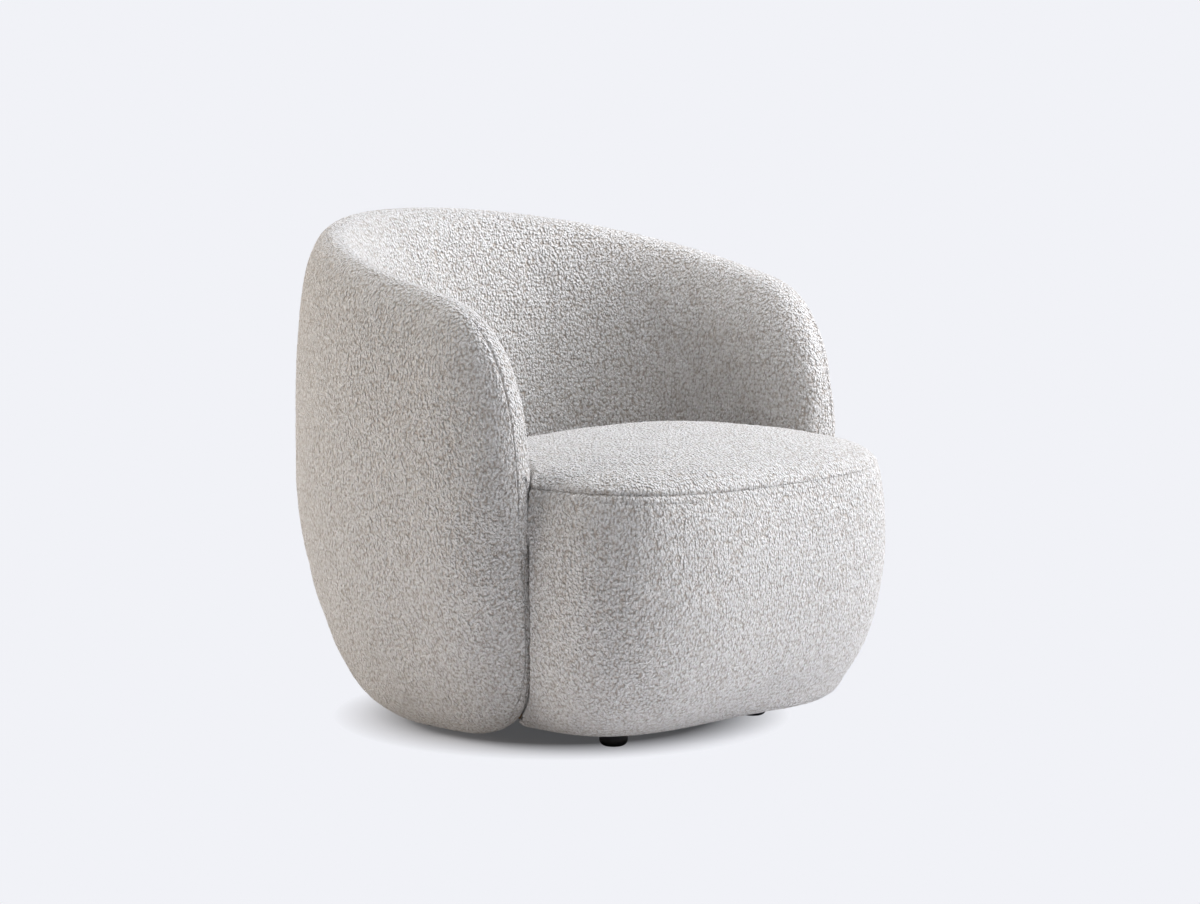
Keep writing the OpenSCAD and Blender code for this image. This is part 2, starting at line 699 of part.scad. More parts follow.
// Height of the cushion's edge at point i: the edge rolls down along the tub, and not at the noses
function edge_height(i, e) = let (
    p = outline_point(i, seat_edge_z, e, true),
    roll = seat_roll*(1 - limit((i - rear_steps)/near_nose_n(), 0, 1))
) (is_inside(i, true) ? seat_top(p.x, p.y) - roll : seat_edge_z) - e;
// Height at level v of the seat's side: 0 at the cushion's underside, 1 at the seam, 2 at the edge.
// Along the tub a layer goes straight from its foot, at level from_v, to the edge
function level_z(v) = mix(pad_bottom_z, seam_z - layer_gap, v);
function side_z(i, v, from_v, foot_z, e) =
    i < rear_steps ? mix(foot_z, edge_height(i, e), (v - from_v)/(2 - from_v))
    : v <= 1 && from_v < 1 ? level_z(v)
    : mix(seam_z + layer_gap, edge_height(i, e), v - 1);
function side_ring(v, from_v, foot_z, e) = full_ring([for (i = [0:half_n(true) - 1])
    outline_point(i, side_z(i, v, from_v, foot_z, e), e, true)]);
function crown_ring(k, e) = full_ring([for (i = [0:half_n(true) - 1])
    let (
        p = outline_point(i, seat_edge_z, e, true),
        x = mix(seat_centre.x, p.x, k),
        y = mix(seat_centre.y, p.y, k)
    )
    [x, y, seat_top(x, y) - e]]);
function layer_rings(levels, foot_z, e) = concat(
    [for (v = levels) side_ring(v, levels[0], foot_z, e)],
    [for (k = crown_shares) crown_ring(k, e)]
);
function cushion_rings(e) = layer_rings([0, 0.5, 1, 1.5, 2], pad_bottom_z, e);
function cover_rings(e) = layer_rings([1, 1.5, 2], tuck_in_z, e);
function crown_mid(e) = [seat_centre.x, seat_centre.y, seat_top(seat_centre.x, seat_centre.y) - e];

module seat_cushion_foam() {
    e = cover_t + wadding_t + 3*layer_gap;
    color(foam)
        ring_stack(cushion_rings(e), [seat_centre.x, seat_centre.y, pad_bottom_z], crown_mid(e));
}

module seat_wadding() {
    out = cover_t + layer_gap;
    color(soft_white)
        hood(cushion_rings(out), cushion_rings(out + wadding_t), crown_mid(out), crown_mid(out + wadding_t));
}

module seat_top_cover() {
    color(wool)
        hood(cover_rings(0), cover_rings(cover_t), crown_mid(0), crown_mid(cover_t));
}

// Heights of the rows of the seat's side, close together where it rounds under
under_shares = [0, 0.18, 0.36];
foam_shares = [0, 0.35, 0.56, 0.72, 0.86];
function turn_z(q) = mix(seat_low_z, seat_mid_z, round_share(q));
foam_levels = concat(
    [for (q = foam_shares) mix(base_plate_top + layer_gap, seat_mid_z, q*q)],
    [seat_mid_z, seat_rail_top]
);
border_levels = concat(
    [for (q = under_shares) turn_z(q)],
    foam_levels,
    [for (v = [0.5, 1]) level_z(v)]
);
module seat_border_cover() {
    function row(z, e) = full_row([for (i = [0:half_n(false) - 1]) outline_point(i, z, e, false)]);
    function flange(e) = full_row([for (i = [0:half_n(false) - 1])
        let (p = outline_point(i, seat_low_z, flange_w + e, false)) [p.x, p.y, seat_low_z + e]]);
    function grid(e) = concat([flange(e)], [for (z = border_levels) row(max(z, seat_low_z + e), e)]);
    color(wool)
        slab(grid(0), grid(cover_t));
}

// The shaped foam in front of and beside the seat box
module seat_front_foam() {
    corner = inside_n(false) + 1 + floor(front_steps/2);
    bx = box_w/2 + layer_gap;
    by = -box_front - layer_gap;
    function outer_row(z) = full_row([for (i = [0:half_n(false) - 1]) outline_point(i, z, foam_e, false)]);
    function inner_row(z) = full_row([for (i = [0:half_n(false) - 1])
        i <= corner ? [bx, mix(outline_point(0, z, foam_e, false).y, by, i/corner), z]
        : [mix(bx, 0, (i - corner)/(half_n(false) - 1 - corner)), by, z]]);
    color(foam)
        slab([for (z = foam_levels) outer_row(z)], [for (z = foam_levels) inner_row(z)]);
}

// Outline of a plate under the seat: rounded in front like the seat, round behind between the wall's feet
module plate_outline(z, inset) {
    hw = seat_half_w(z, inset);
    hd = seat_half_d(z, inset);
    side_x = box_w/2 + flange_w;
    front = [for (a = [0:6:90]) [hw*pow(cos(a), 2/seat_power), seat_cy - hd*pow(sin(a), 2/seat_power)]];
    half = concat([[side_x, rear_y], [side_x, seat_cy + hd/2]], front);
    intersection() {
        polygon(concat(half, [for (p = turned(half)) [-p.x, p.y]]));
        union() {
            translate([-chair_w/2, -chair_d])
                square([chair_w, chair_d + tub_y]);
            translate([0, tub_y])
                circle(base_plate_r - inset);
        }
    }
}

module seat_base_plate() {
    color(plywood)
        difference() {
            translate([0, 0, base_plate_z])
                linear_extrude(ply_t)
                    plate_outline(base_plate_z, cover_t + foam_min);
            for (p = foot_places)
                translate([p.x, p.y, base_plate_z - cut])
                    cylinder(h = ply_t + 2*cut, d = nut_barrel_d + 2*fit_gap);
        }
}

module box_board(x0, x1, y0, y1) {
    color(board)
        translate([x0, y0, base_plate_top])
            cube([x1 - x0, y1 - y0, deck_z - base_plate_top]);
}

module seat_box_front() {
    box_board(-box_w/2, box_w/2, -box_front, -box_front + board_t);
}

module seat_box_back() {
    box_board(-box_w/2, box_w/2, box_back - board_t, box_back);
}

module seat_box_left() {
    box_board(-box_w/2, -box_w/2 + board_t, -box_front + board_t, box_back - board_t);
}

module seat_box_right() {
    box_board(box_w/2 - board_t, box_w/2, -box_front + board_t, box_back - board_t);
}

// Three-cornered hardwood blocks glued into the corners of the box
module seat_corner_blocks() {
    leg = 2*board_t;
    x = box_w/2 - board_t;
    places = [[x, box_back - board_t, -1, -1], [-x, box_back - board_t, 1, -1],
              [x, -box_front + board_t, -1, 1], [-x, -box_front + board_t, 1, 1]];
    color(board)
        for (p = places)
            translate([0, 0, base_plate_top])
                linear_extrude(deck_z - base_plate_top)
                    polygon([[p[0], p[1]], [p[0] + p[2]*leg, p[1]], [p[0], p[1] + p[3]*leg]]);
}

// The deck: narrow over the box in front, wider between the arms, open under the webbing
module seat_deck() {
    step_y = path_y(frame_run);
    color(plywood)
        difference() {
            translate([0, 0, deck_z])
                linear_extrude(ply_t)
                    difference() {
                        union() {
                            translate([-box_w/2, -box_front])
                                square([box_w, box_front + box_back]);
                            intersection() {
                                translate([-deck_w/2, step_y])
                                    square([deck_w, deck_back - step_y]);
                                union() {
                                    translate([-deck_w/2, step_y])
                                        square([deck_w, tub_y - step_y]);
                                    translate([0, tub_y])
                                        circle(tub_r - 2*board_t - foam_min);
                                }
                            }
                        }
                        translate([-deck_open_w/2 + board_t, -box_front + 2*board_t])
                            square([deck_open_w - 2*board_t, box_front + box_back - 3*board_t]);
                    }
            bolt_holes(nut_barrel_d + 2*fit_gap);
        }
}

module seat_webbing() {
    first = -box_front + 2*board_t + strap_w/2;
    last = box_back - board_t - strap_w/2;
    color(black)
        for (k = [0:strap_count - 1])
            translate([-deck_open_w/2 + cut, mix(first, last, k/(strap_count - 1)) - strap_w/2, deck_top])
                cube([deck_open_w - 2*cut, strap_w, web_t]);
}

module seat_infill_pad() {
    z = deck_top + web_t + layer_gap;
    gap = 2*layer_gap;
    color(foam)
        translate([0, 0, z])
            linear_extrude(seat_rail_top - z)
                union() {
                    translate([-box_w/2 + gap, -box_front + gap])
                        square([box_w - 2*gap, rail_front_y + box_front - 2*gap]);
                    translate([-deck_open_w/2 + gap, -box_front + gap])
                        square([deck_open_w - 2*gap, box_front + rail_open_y - 2*gap]);
                }
}

module seat_bottom_cloth() {
    color(black)
        translate([0, 0, foot_h])
            linear_extrude(cloth_t)
                difference() {
                    plate_outline(seat_low_z, flange_w + cover_t + foam_min);
                    for (p = foot_places)
                        translate(p)
                            circle(d = thread_d + 4*fit_gap);
                }
}

// A moulded glide: a low round foot with a rounded lower edge and a blind hole for its stud
module foot(place_xy) {
    round_r = (foot_d - foot_face_d)/2;
    color(black)
        translate([place_xy.x, place_xy.y, 0])
            difference() {
                rotate_extrude()
                    polygon(concat(
                        [[0, 0]],
                        [for (a = [0:9:90]) [foot_face_d/2 + round_r*sin(a), round_r*(1 - cos(a))]],
                        [[foot_d/2, foot_h], [0, foot_h]]
                    ));
                translate([0, 0, foot_h/2])
                    cylinder(h = foot_h, d = thread_d + 2*fit_gap);
            }
}

module foot_studs() {
    color(steel)
        for (p = foot_places)
            translate([p.x, p.y, foot_h/2])
                cylinder(h = base_plate_top + thread_d/2 - foot_h/2, d = thread_d);
}

// A T-nut: a barrel in the plate and a round flange on one face of it
module t_nut(barrel_h) {
    difference() {
        union() {
            cylinder(h = nut_flange_t, d = nut_d);
            translate([0, 0, -barrel_h])
                cylinder(h = barrel_h, d = nut_barrel_d);
        }
        translate([0, 0, -barrel_h - cut])
            cylinder(h = barrel_h + nut_flange_t + 2*cut, d = thread_d + 2*fit_gap);
    }
}

module foot_t_nuts() {
    color(steel)
        for (p = foot_places)
            translate([p.x, p.y, base_plate_top])
                t_nut(2*ply_t/3);
}

module deck_t_nuts() {
    color(steel)
        for (p = bolt_places)
            translate([p.x, p.y, deck_z])
                mirror([0, 0, 1])
                    t_nut(2*ply_t/3);
}

module deck_washers() {
    color(steel)
        for (p = bolt_places)
            translate([p.x, p.y, seat_rail_top - head_h - washer_t - fit_gap])
                difference() {
                    cylinder(h = washer_t, d = washer_d);
                    translate([0, 0, -cut])
                        cylinder(h = washer_t + 2*cut, d = thread_d + 2*fit_gap);
                }
}

module deck_bolts() {
    z = seat_rail_top - head_h - fit_gap;
    socket_d = 0.8*thread_d;
    color(steel)
        for (p = bolt_places)
            difference() {
                union() {
                    translate([p.x, p.y, z])
                        cylinder(h = head_h, d = head_d);
                    translate([p.x, p.y, deck_z - nut_flange_t])
                        cylinder(h = z - deck_z + nut_flange_t, d = thread_d);
                }
                translate([p.x, p.y, z + head_h/3])
                    cylinder(h = head_h, d = socket_d, $fn = 6);
            }
}

base_rail();
seat_rail();
top_rail();
for (i = [0:len(rib_names) - 1]) {
    lower_rib(i);
    upper_rib(i);
}
outer_facing();
inner_facing();
outer_foam();
inner_foam();
rim_foam();
bottom_foam();
nose_foam(-1);  // nose_foam_left
nose_foam(1);  // nose_foam_right
outer_cover();
inner_cover();
wall_bottom_cloth();
seat_base_plate();
seat_box_front();
seat_box_back();
seat_box_left();
seat_box_right();
seat_corner_blocks();
seat_deck();
seat_webbing();
seat_infill_pad();
seat_front_foam();
seat_cushion_foam();
seat_wadding();
seat_top_cover();
seat_border_cover();
seat_bottom_cloth();
for (i = [0:len(foot_names) - 1])
    foot(foot_places[i]);
foot_studs();
foot_t_nuts();
deck_bolts();
deck_washers();
deck_t_nuts();
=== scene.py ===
"""Tub chair in looped wool: a padded tub on a plywood frame, a bulging seat and four low glides."""
import math

import bpy
import numpy as np
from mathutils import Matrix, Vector, geometry, noise


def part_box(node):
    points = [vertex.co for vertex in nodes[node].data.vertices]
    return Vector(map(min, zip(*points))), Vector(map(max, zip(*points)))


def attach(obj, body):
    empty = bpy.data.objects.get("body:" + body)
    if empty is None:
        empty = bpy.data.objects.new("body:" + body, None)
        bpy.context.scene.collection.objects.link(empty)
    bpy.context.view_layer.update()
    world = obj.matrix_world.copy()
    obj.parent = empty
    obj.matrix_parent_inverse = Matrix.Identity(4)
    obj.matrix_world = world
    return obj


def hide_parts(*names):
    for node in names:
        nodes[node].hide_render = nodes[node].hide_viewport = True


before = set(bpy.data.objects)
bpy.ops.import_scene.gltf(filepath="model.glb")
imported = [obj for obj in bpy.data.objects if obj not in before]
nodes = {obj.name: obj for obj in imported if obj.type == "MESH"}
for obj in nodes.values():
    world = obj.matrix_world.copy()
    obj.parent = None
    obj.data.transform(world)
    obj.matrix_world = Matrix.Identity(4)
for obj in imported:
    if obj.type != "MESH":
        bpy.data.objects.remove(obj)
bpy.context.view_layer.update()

# Feet: four low glides, round discs with a rounded lower edge, screwed into the base plate.
# Moulded polypropylene is matt black with a fine spark-eroded grain, rubbed a little paler here and
# there.
GLIDE_BLACK = "#1d1c1c"
GLIDE_RUBBED = "#3a3937"
GLIDE_GRAIN_MM = 0.7
GLIDE_GRAIN_DEEP_MM = 0.05
GLIDE_RUB_MM = 14


def linear(colour):
    """An sRGB hex colour as linear RGBA."""
    parts = [int(colour[i:i + 2], 16)/255 for i in (1, 3, 5)]
    return [c/12.92 if c <= 0.04045 else ((c + 0.055)/1.055)**2.4 for c in parts] + [1.0]


def add_node(tree, kind, settings=None, stops=(), **inputs):
    """Adds a node. settings are its properties, stops the places and hex colours of its ramp, and
    inputs its socket values or the sockets that feed it, by name or, as in _2, by number."""
    node = tree.nodes.new(kind)
    for key, value in (settings or {}).items():
        setattr(node, key, value)
    for number, (position, colour) in enumerate(stops):
        if number == len(node.color_ramp.elements):
            node.color_ramp.elements.new(1.0)
        node.color_ramp.elements[number].position = position
        node.color_ramp.elements[number].color = linear(colour)
    for key, value in inputs.items():
        socket = node.inputs[int(key[1:])] if key[1:].isdigit() else node.inputs[key.replace("_", " ")]
        if isinstance(value, bpy.types.NodeSocket):
            tree.links.new(value, socket)
        else:
            socket.default_value = value
    return node


def new_finish(name, roughness, ior=1.5, metallic=0.0):
    """An empty material with a Principled surface, and its object coordinates in metres."""
    finish = bpy.data.materials.new(name)
    finish.use_nodes = True
    tree = finish.node_tree
    surface = tree.nodes["Principled BSDF"]
    surface.inputs["Roughness"].default_value = roughness
    surface.inputs["IOR"].default_value = ior
    surface.inputs["Metallic"].default_value = metallic
    place_on = tree.nodes.new("ShaderNodeTexCoord").outputs["Object"]
    return finish, tree, surface, place_on


def per_mm(size):
    """Texture scale that gives a pattern this many millimetres long."""
    return 1000/size


def lay_on(tree, surface, shade, stops, grain, deep_mm, strength=1.0):
    """Colours a surface by one pattern and raises it by another."""
    shades = add_node(tree, "ShaderNodeValToRGB", stops=stops, Fac=shade)
    raised = add_node(tree, "ShaderNodeBump", Height=grain, Distance=deep_mm/1000, Strength=strength)
    tree.links.new(shades.outputs["Color"], surface.inputs["Base Color"])
    tree.links.new(raised.outputs["Normal"], surface.inputs["Normal"])


def dress(finish, *names):
    """Gives CAD nodes that keep their shape their finish."""
    for name in names:
        node = nodes[name]
        node.data.materials.clear()
        node.data.materials.append(finish)


moulded_black, tree, surface, at = new_finish("moulded_polypropylene_black", 0.48, ior=1.49)
grain = add_node(tree, "ShaderNodeTexNoise", Vector=at, Scale=per_mm(GLIDE_GRAIN_MM), Detail=2.0)
rubbed = add_node(tree, "ShaderNodeTexNoise", Vector=at, Scale=per_mm(GLIDE_RUB_MM), Detail=4.0)
lay_on(
    tree, surface, rubbed.outputs["Fac"], ((0.45, GLIDE_BLACK), (0.85, GLIDE_RUBBED)),
    grain.outputs["Fac"], GLIDE_GRAIN_DEEP_MM, 0.5)
dress(moulded_black, "foot_front_left", "foot_front_right", "foot_rear_left", "foot_rear_right")

# Fasteners: the glides' studs and T-nuts, and the bolts that hold the tub down on the seat's deck.
# Zinc-plated steel is a bluish grey metal with a faint mottle from the bath.
ZINC_PALE = "#c3c6ca"
ZINC_DULL = "#a3a7ac"
ZINC_MOTTLE_MM = 6
ZINC_MOTTLE_DEEP_MM = 0.06

zinc, tree, surface, at = new_finish("zinc_plated_steel", 0.38, metallic=1.0)
mottle = add_node(tree, "ShaderNodeTexNoise", Vector=at, Scale=per_mm(ZINC_MOTTLE_MM), Detail=5.0)
lay_on(
    tree, surface, mottle.outputs["Fac"], ((0.35, ZINC_DULL), (0.65, ZINC_PALE)),
    mottle.outputs["Fac"], ZINC_MOTTLE_DEEP_MM, 0.4)
dress(zinc, "foot_studs", "foot_t_nuts", "deck_bolts", "deck_washers", "deck_t_nuts")

# Seat base, deck and rails: birch plywood, cut by router and left raw inside the upholstery. Its edges
# show brown and pale plies, and its face a soft, long grain. Real plies are 1.5 mm thick, so a brown and
# a pale one take 3 mm, and they are drawn about three times as broad.
PLY_PALE = "#dcc092"
PLY_DARK = "#b08a58"
PLY_BAND_MM = 9.42
PLY_BAND_SHARE = 0.45
PLY_GRAIN_MM = 10
PLY_GRAIN_STRETCH = 0.12
PLY_GRAIN_DEEP_MM = 0.15


def bands_every(size):
    """Wave texture scale that brings its bands this many millimetres apart."""
    return per_mm(size)*math.pi/10


birch_ply, tree, surface, at = new_finish("birch_plywood", 0.62)
long_grain = add_node(tree, "ShaderNodeMapping", Vector=at, Scale=(PLY_GRAIN_STRETCH, 1.0, 1.0))
fibre = add_node(
    tree, "ShaderNodeTexNoise", Vector=long_grain.outputs["Vector"], Scale=per_mm(PLY_GRAIN_MM),
    Detail=6.0, Distortion=0.4)
plies = add_node(
    tree, "ShaderNodeTexWave", {"bands_direction": "Z", "wave_profile": "SAW"},
    Vector=at, Scale=bands_every(PLY_BAND_MM), Distortion=0.3, Detail=1.0)
both = add_node(
    tree, "ShaderNodeMix", {"data_type": "FLOAT"}, Factor=PLY_BAND_SHARE, A=fibre.outputs["Fac"],
    B=plies.outputs["Fac"])
lay_on(
    tree, surface, both.outputs["Result"], ((0.25, PLY_DARK), (0.6, PLY_PALE)),
    fibre.outputs["Fac"], PLY_GRAIN_DEEP_MM, 0.5)
dress(birch_ply, "base_rail", "seat_rail", "top_rail", "seat_base_plate", "seat_deck")

# Ribs, box sides and corner blocks: planed pine boards, glued and stapled. Pine shows straight amber
# grain lines, broad ones about 8 mm apart with finer ones between them.
PINE_PALE = "#dcb77e"
PINE_DARK = "#b5824a"
PINE_LINE_MM = 8
PINE_LINE_STRETCH = 0.08
PINE_LINE_DEEP_MM = 0.2

pine, tree, surface, at = new_finish("planed_pine", 0.55)
along = add_node(tree, "ShaderNodeMapping", Vector=at, Scale=(1.0, 1.0, PINE_LINE_STRETCH))
lines = add_node(
    tree, "ShaderNodeTexNoise", Vector=along.outputs["Vector"], Scale=per_mm(PINE_LINE_MM),
    Detail=4.0, Distortion=0.6)
lay_on(
    tree, surface, lines.outputs["Fac"], ((0.35, PINE_DARK), (0.62, PINE_PALE)),
    lines.outputs["Fac"], PINE_LINE_DEEP_MM, 0.5)
ribs = [name for name in nodes if "_rib_" in name]
dress(pine, "seat_box_front", "seat_box_back", "seat_box_left", "seat_box_right",
      "seat_corner_blocks", *ribs)

# Facings: 4 mm hardboard, bent round the ribs and stapled. Pressed wood fibre has a smooth brown face
# with a fine, paler mottle.
BOARD_BROWN = "#8a6647"
BOARD_PALE = "#a57f5b"
BOARD_FIBRE_MM = 1.6
BOARD_FIBRE_DEEP_MM = 0.1

hardboard, tree, surface, at = new_finish("pressed_hardboard", 0.7)
fibres = add_node(
    tree, "ShaderNodeTexNoise", Vector=at, Scale=per_mm(BOARD_FIBRE_MM), Detail=6.0, Distortion=1.2)
lay_on(
    tree, surface, fibres.outputs["Fac"], ((0.35, BOARD_BROWN), (0.65, BOARD_PALE)),
    fibres.outputs["Fac"], BOARD_FIBRE_DEEP_MM, 0.5)
dress(hardboard, "outer_facing", "inner_facing")

# Tub: one padded wall runs round the back and both arms. Its middle line is a half circle with two
# long arms that turn in a little, and its section is a tall rounded slab that thins out at the noses.
# Millimetres until a mesh is made.
WALL_T = 118
TUB_R = 339
TUB_Y = 13
ARM_RUN = 228
ARM_TURN_R = 1750
BEND_RUN = TUB_R*math.pi/2
HALF_RUN = BEND_RUN + ARM_RUN
NOSE_BLOCK = 80
FRAME_RUN = HALF_RUN - NOSE_BLOCK
RIM_BACK_Z = 730
RIM_ARM_Z = 600
TUB_LIFT = 13
BACK_LIFT = 29
BACK_SLOPE = 26
SEAT_EDGE_Z = 398
TUCK = 80
TUCK_Z = 346
TUCK_POWER = 1.54
TUCK_FADE = 0.15
NOSE_Z = 285
NOSE_TOP_RUN = 152
NOSE_LOW_RUN = 180
NOSE_SIDE_RUN = 124
NOSE_POWER = 2.85
SIDE_POWER = 2.4
RIM_POWER = 2.95
REF_HALF_H = (RIM_ARM_Z - TUB_LIFT)/2
COVER_T = 3


def ease(t):
    """A smooth step from 0 to 1."""
    q = np.clip(t, 0, 1)
    return q*q*(3 - 2*q)


def path_angle(d):
    """Direction of the wall's outward side at distance d from the middle of the back."""
    q = np.abs(d)
    return np.where(q < BEND_RUN, q/TUB_R, math.pi/2 + (q - BEND_RUN)/ARM_TURN_R)


def path_x(d):
    """Where the wall's middle line is across the chair."""
    a = path_angle(d)
    return np.where(np.abs(d) < BEND_RUN, TUB_R*np.sin(a), TUB_R + ARM_TURN_R*(np.sin(a) - 1))


def path_y(d):
    """Where the wall's middle line is along the chair."""
    return TUB_Y + np.where(np.abs(d) < BEND_RUN, TUB_R, ARM_TURN_R)*np.cos(path_angle(d))


def place(d, off, z):
    """The point at offset off outwards from the wall's middle line at d, at height z."""
    a = path_angle(d)
    side = np.where(d < 0, -1, 1)
    parts = np.broadcast_arrays(side*(path_x(d) + off*np.sin(a)), path_y(d) + off*np.cos(a), z)
    return np.stack(parts, -1)


REAR_Y = TUB_Y + TUB_R
RIM_SLOPE = (RIM_BACK_Z - RIM_ARM_Z)/(REAR_Y - float(path_y(HALF_RUN)))


def rounded(r, run):
    """How full the wall is at distance r from a nose's tip."""
    return (1 - np.maximum(1 - r/run, 0)**NOSE_POWER)**(1/NOSE_POWER)


def rim_z(y):
    """Height of the sloping rim."""
    return RIM_BACK_Z - RIM_SLOPE*(REAR_Y - y)


def top_z(d):
    """Height of the wall's top, which falls round at the noses."""
    r = np.maximum(HALF_RUN - np.abs(d), 0)
    return NOSE_Z + (rim_z(path_y(d)) - NOSE_Z)*rounded(r, NOSE_TOP_RUN)


def low_z(d):
    """Height of the wall's lower edge."""
    r = np.maximum(HALF_RUN - np.abs(d), 0)
    edge = TUB_LIFT + BACK_LIFT*(np.maximum(path_y(d) - TUB_Y, 0)/TUB_R)**2
    return NOSE_Z - (NOSE_Z - edge)*rounded(r, NOSE_LOW_RUN)


def half_t(d):
    """Half of the wall's thickness."""
    r = np.maximum(HALF_RUN - np.abs(d), 0)
    return WALL_T/2*np.sqrt(1 - np.maximum(1 - r/NOSE_SIDE_RUN, 0)**2)


def tuck_in(d, z):
    """How far the wall draws in towards the floor."""
    share = np.maximum(TUCK_Z - z, 0)/TUCK_Z
    return -TUCK*share**TUCK_POWER*(1 - TUCK_FADE*np.abs(d)/HALF_RUN)


def slope_in(d, z):
    """How far the backrest leans into the seat."""
    rim = rim_z(path_y(d))
    lean = np.cos(math.pi/2*np.minimum(np.abs(d)/BEND_RUN, 1))**2
    return BACK_SLOPE*lean*ease((rim - z)/(rim - SEAT_EDGE_Z))


def inner_off(d, z):
    """Offset of the wall's inner surface at height z."""
    mid = (top_z(d) + low_z(d))/2
    half = (top_z(d) - low_z(d))/2
    full = np.maximum(1 - np.abs((z - mid)/half)**RIM_POWER, 0)**(1/SIDE_POWER)
    return -full*(half_t(d) + slope_in(d, z)) + tuck_in(d, z)


def wall_point(d, a, inset=0.0):
    """A point of the wall: a is the angle in its section, 0 outwards and 90 degrees on the rim."""
    cu = np.sign(np.cos(a))*np.abs(np.cos(a))**(2/SIDE_POWER)
    cv = np.sign(np.sin(a))*np.abs(np.sin(a))**(2/RIM_POWER)
    half = (top_z(d) - low_z(d))/2
    z = (top_z(d) + low_z(d))/2 + half*(1 - inset/REF_HALF_H)*cv
    thick = half_t(d)*(1 - 2*inset/WALL_T) + np.where(cu < 0, slope_in(d, z), 0)
    back = inset*np.maximum(1 - (HALF_RUN - np.abs(d))/NOSE_BLOCK, 0)
    return place(d - np.sign(d)*back, thick*cu + tuck_in(d, z), z)


# Cover of the tub: two sewn panels of looped wool over moulded foam. The seam between them runs
# round the outer side of the rim and of both noses, 12 mm from the crest.
SEAM_OUT = 12
STATION_STEP_MM = 4.29
SEAM_TURN_SHARE = 0.35
FINE_STATIONS = 6000
FINE_ANGLES = 1601
SEAM_STEPS_MM = (0, 0.9, 1.9, 3.1, 4.6, 6.4, 8.4, 10.6, 13.4)
SEAM_SPAN_MM = 70
INNER_FOOT_Z = 303


def seam_angle(d):
    """The section angle of the seam, outside the crest."""
    share = np.clip(SEAM_OUT/np.maximum(half_t(d), 0.01), 0, 1)**(SIDE_POWER/2)
    return np.arccos(share)


def nose_stations():
    """Distances from a nose's tip, close together where the nose or the seam turns."""
    share = np.linspace(0, 1, FINE_STATIONS)
    r = HALF_RUN*share**3
    d = HALF_RUN - r
    seam = wall_point(d, seam_angle(d))
    crest = np.stack([r, top_z(d)], -1)
    run = np.hypot(*np.diff(crest, axis=0).T)
    run += SEAM_TURN_SHARE*np.linalg.norm(np.diff(seam, axis=0), axis=1)
    run = np.concatenate([[0], np.cumsum(run)])
    count = int(run[-1]/STATION_STEP_MM)
    return np.interp(np.linspace(0, run[-1], count + 1), run, r)


def spaced(length, count):
    """Positions along a row that ends in a seam on both sides, closer near the seams."""
    near = np.array(SEAM_STEPS_MM)*min(1, length/SEAM_SPAN_MM)
    inner = np.linspace(near[-1], length - near[-1], count - 2*len(near) + 3)
    return np.concatenate([near[:-1], inner, (length - near[:-1])[::-1]])


def section_angles(d, a0, a1, count, places=None):
    """Angles from a0 to a1 that are evenly spaced over the surface, or spaced as places says."""
    a = np.linspace(a0, a1, FINE_ANGLES)
    run = np.linalg.norm(np.diff(wall_point(np.full_like(a, d), a), axis=0), axis=1)
    run = np.concatenate([[0], np.cumsum(run)])
    want = np.linspace(0, run[-1], count + 1) if places is None else places(run[-1], count)
    return np.interp(want, run, a), want, run[-1]


def angle_inside(d, z):
    """The section angle at which the wall's inner surface has height z."""
    mid = (top_z(d) + low_z(d))/2
    half = np.maximum((top_z(d) - low_z(d))/2, 1e-6)
    share = np.clip((z - mid)/half, -1, 1)
    return math.pi - np.arcsin(np.sign(share)*np.abs(share)**(RIM_POWER/2))


tip_run = nose_stations()
stations = np.concatenate([-(HALF_RUN - tip_run[:-1]), [0.0], (HALF_RUN - tip_run[:-1])[::-1]])
OUTER_ROWS = 216
INNER_ROWS = 116
HIDDEN_ROWS = 64
outer_angles = []
inner_angles = []
outer_seam_mm = []
inner_seam_mm = []
for d in stations:
    s = float(seam_angle(d))
    angles, want, length = section_angles(d, -s, s, OUTER_ROWS, spaced)
    outer_angles.append(angles)
    outer_seam_mm.append(np.minimum(want, length - want))
    foot = float(angle_inside(d, INNER_FOOT_Z))
    upper, upper_mm, _ = section_angles(
        d, s, foot, INNER_ROWS, lambda length, count: spaced(2*length, 2*count)[:count + 1])
    lower, lower_mm, lower_length = section_angles(
        d, foot, 2*math.pi - s, HIDDEN_ROWS,
        lambda length, count: spaced(2*length, 2*count)[count:] - length)
    inner_angles.append(np.concatenate([upper, lower[1:]]))
    inner_seam_mm.append(np.concatenate([upper_mm, (lower_length - lower_mm)[1:]]))
outer_angles = np.array(outer_angles)
inner_angles = np.array(inner_angles)
outer_seam_mm = np.array(outer_seam_mm)
inner_seam_mm = np.array(inner_seam_mm)


def grid_cells(n, m, keep=None, closed=False):
    """Quads of an n by m grid of points, as rows of point numbers."""
    columns = m if closed else m - 1
    i, j = np.meshgrid(np.arange(n - 1), np.arange(columns), indexing="ij")
    if keep is not None:
        i, j = i[keep], j[keep]
    i, j = i.ravel(), j.ravel()
    k = (j + 1) % m
    return np.stack([i*m + j, (i + 1)*m + j, (i + 1)*m + k, i*m + k], -1)


def point_normals(points, quads):
    """Normals of the points of a mesh of quads."""
    a, b, c, d = (points[quads[:, k]] for k in range(4))
    faces = np.cross(c - a, d - b)
    normals = np.zeros_like(points)
    for k in range(4):
        np.add.at(normals, quads[:, k], faces)
    return normals/np.maximum(np.linalg.norm(normals, axis=1), 1e-9)[:, None]


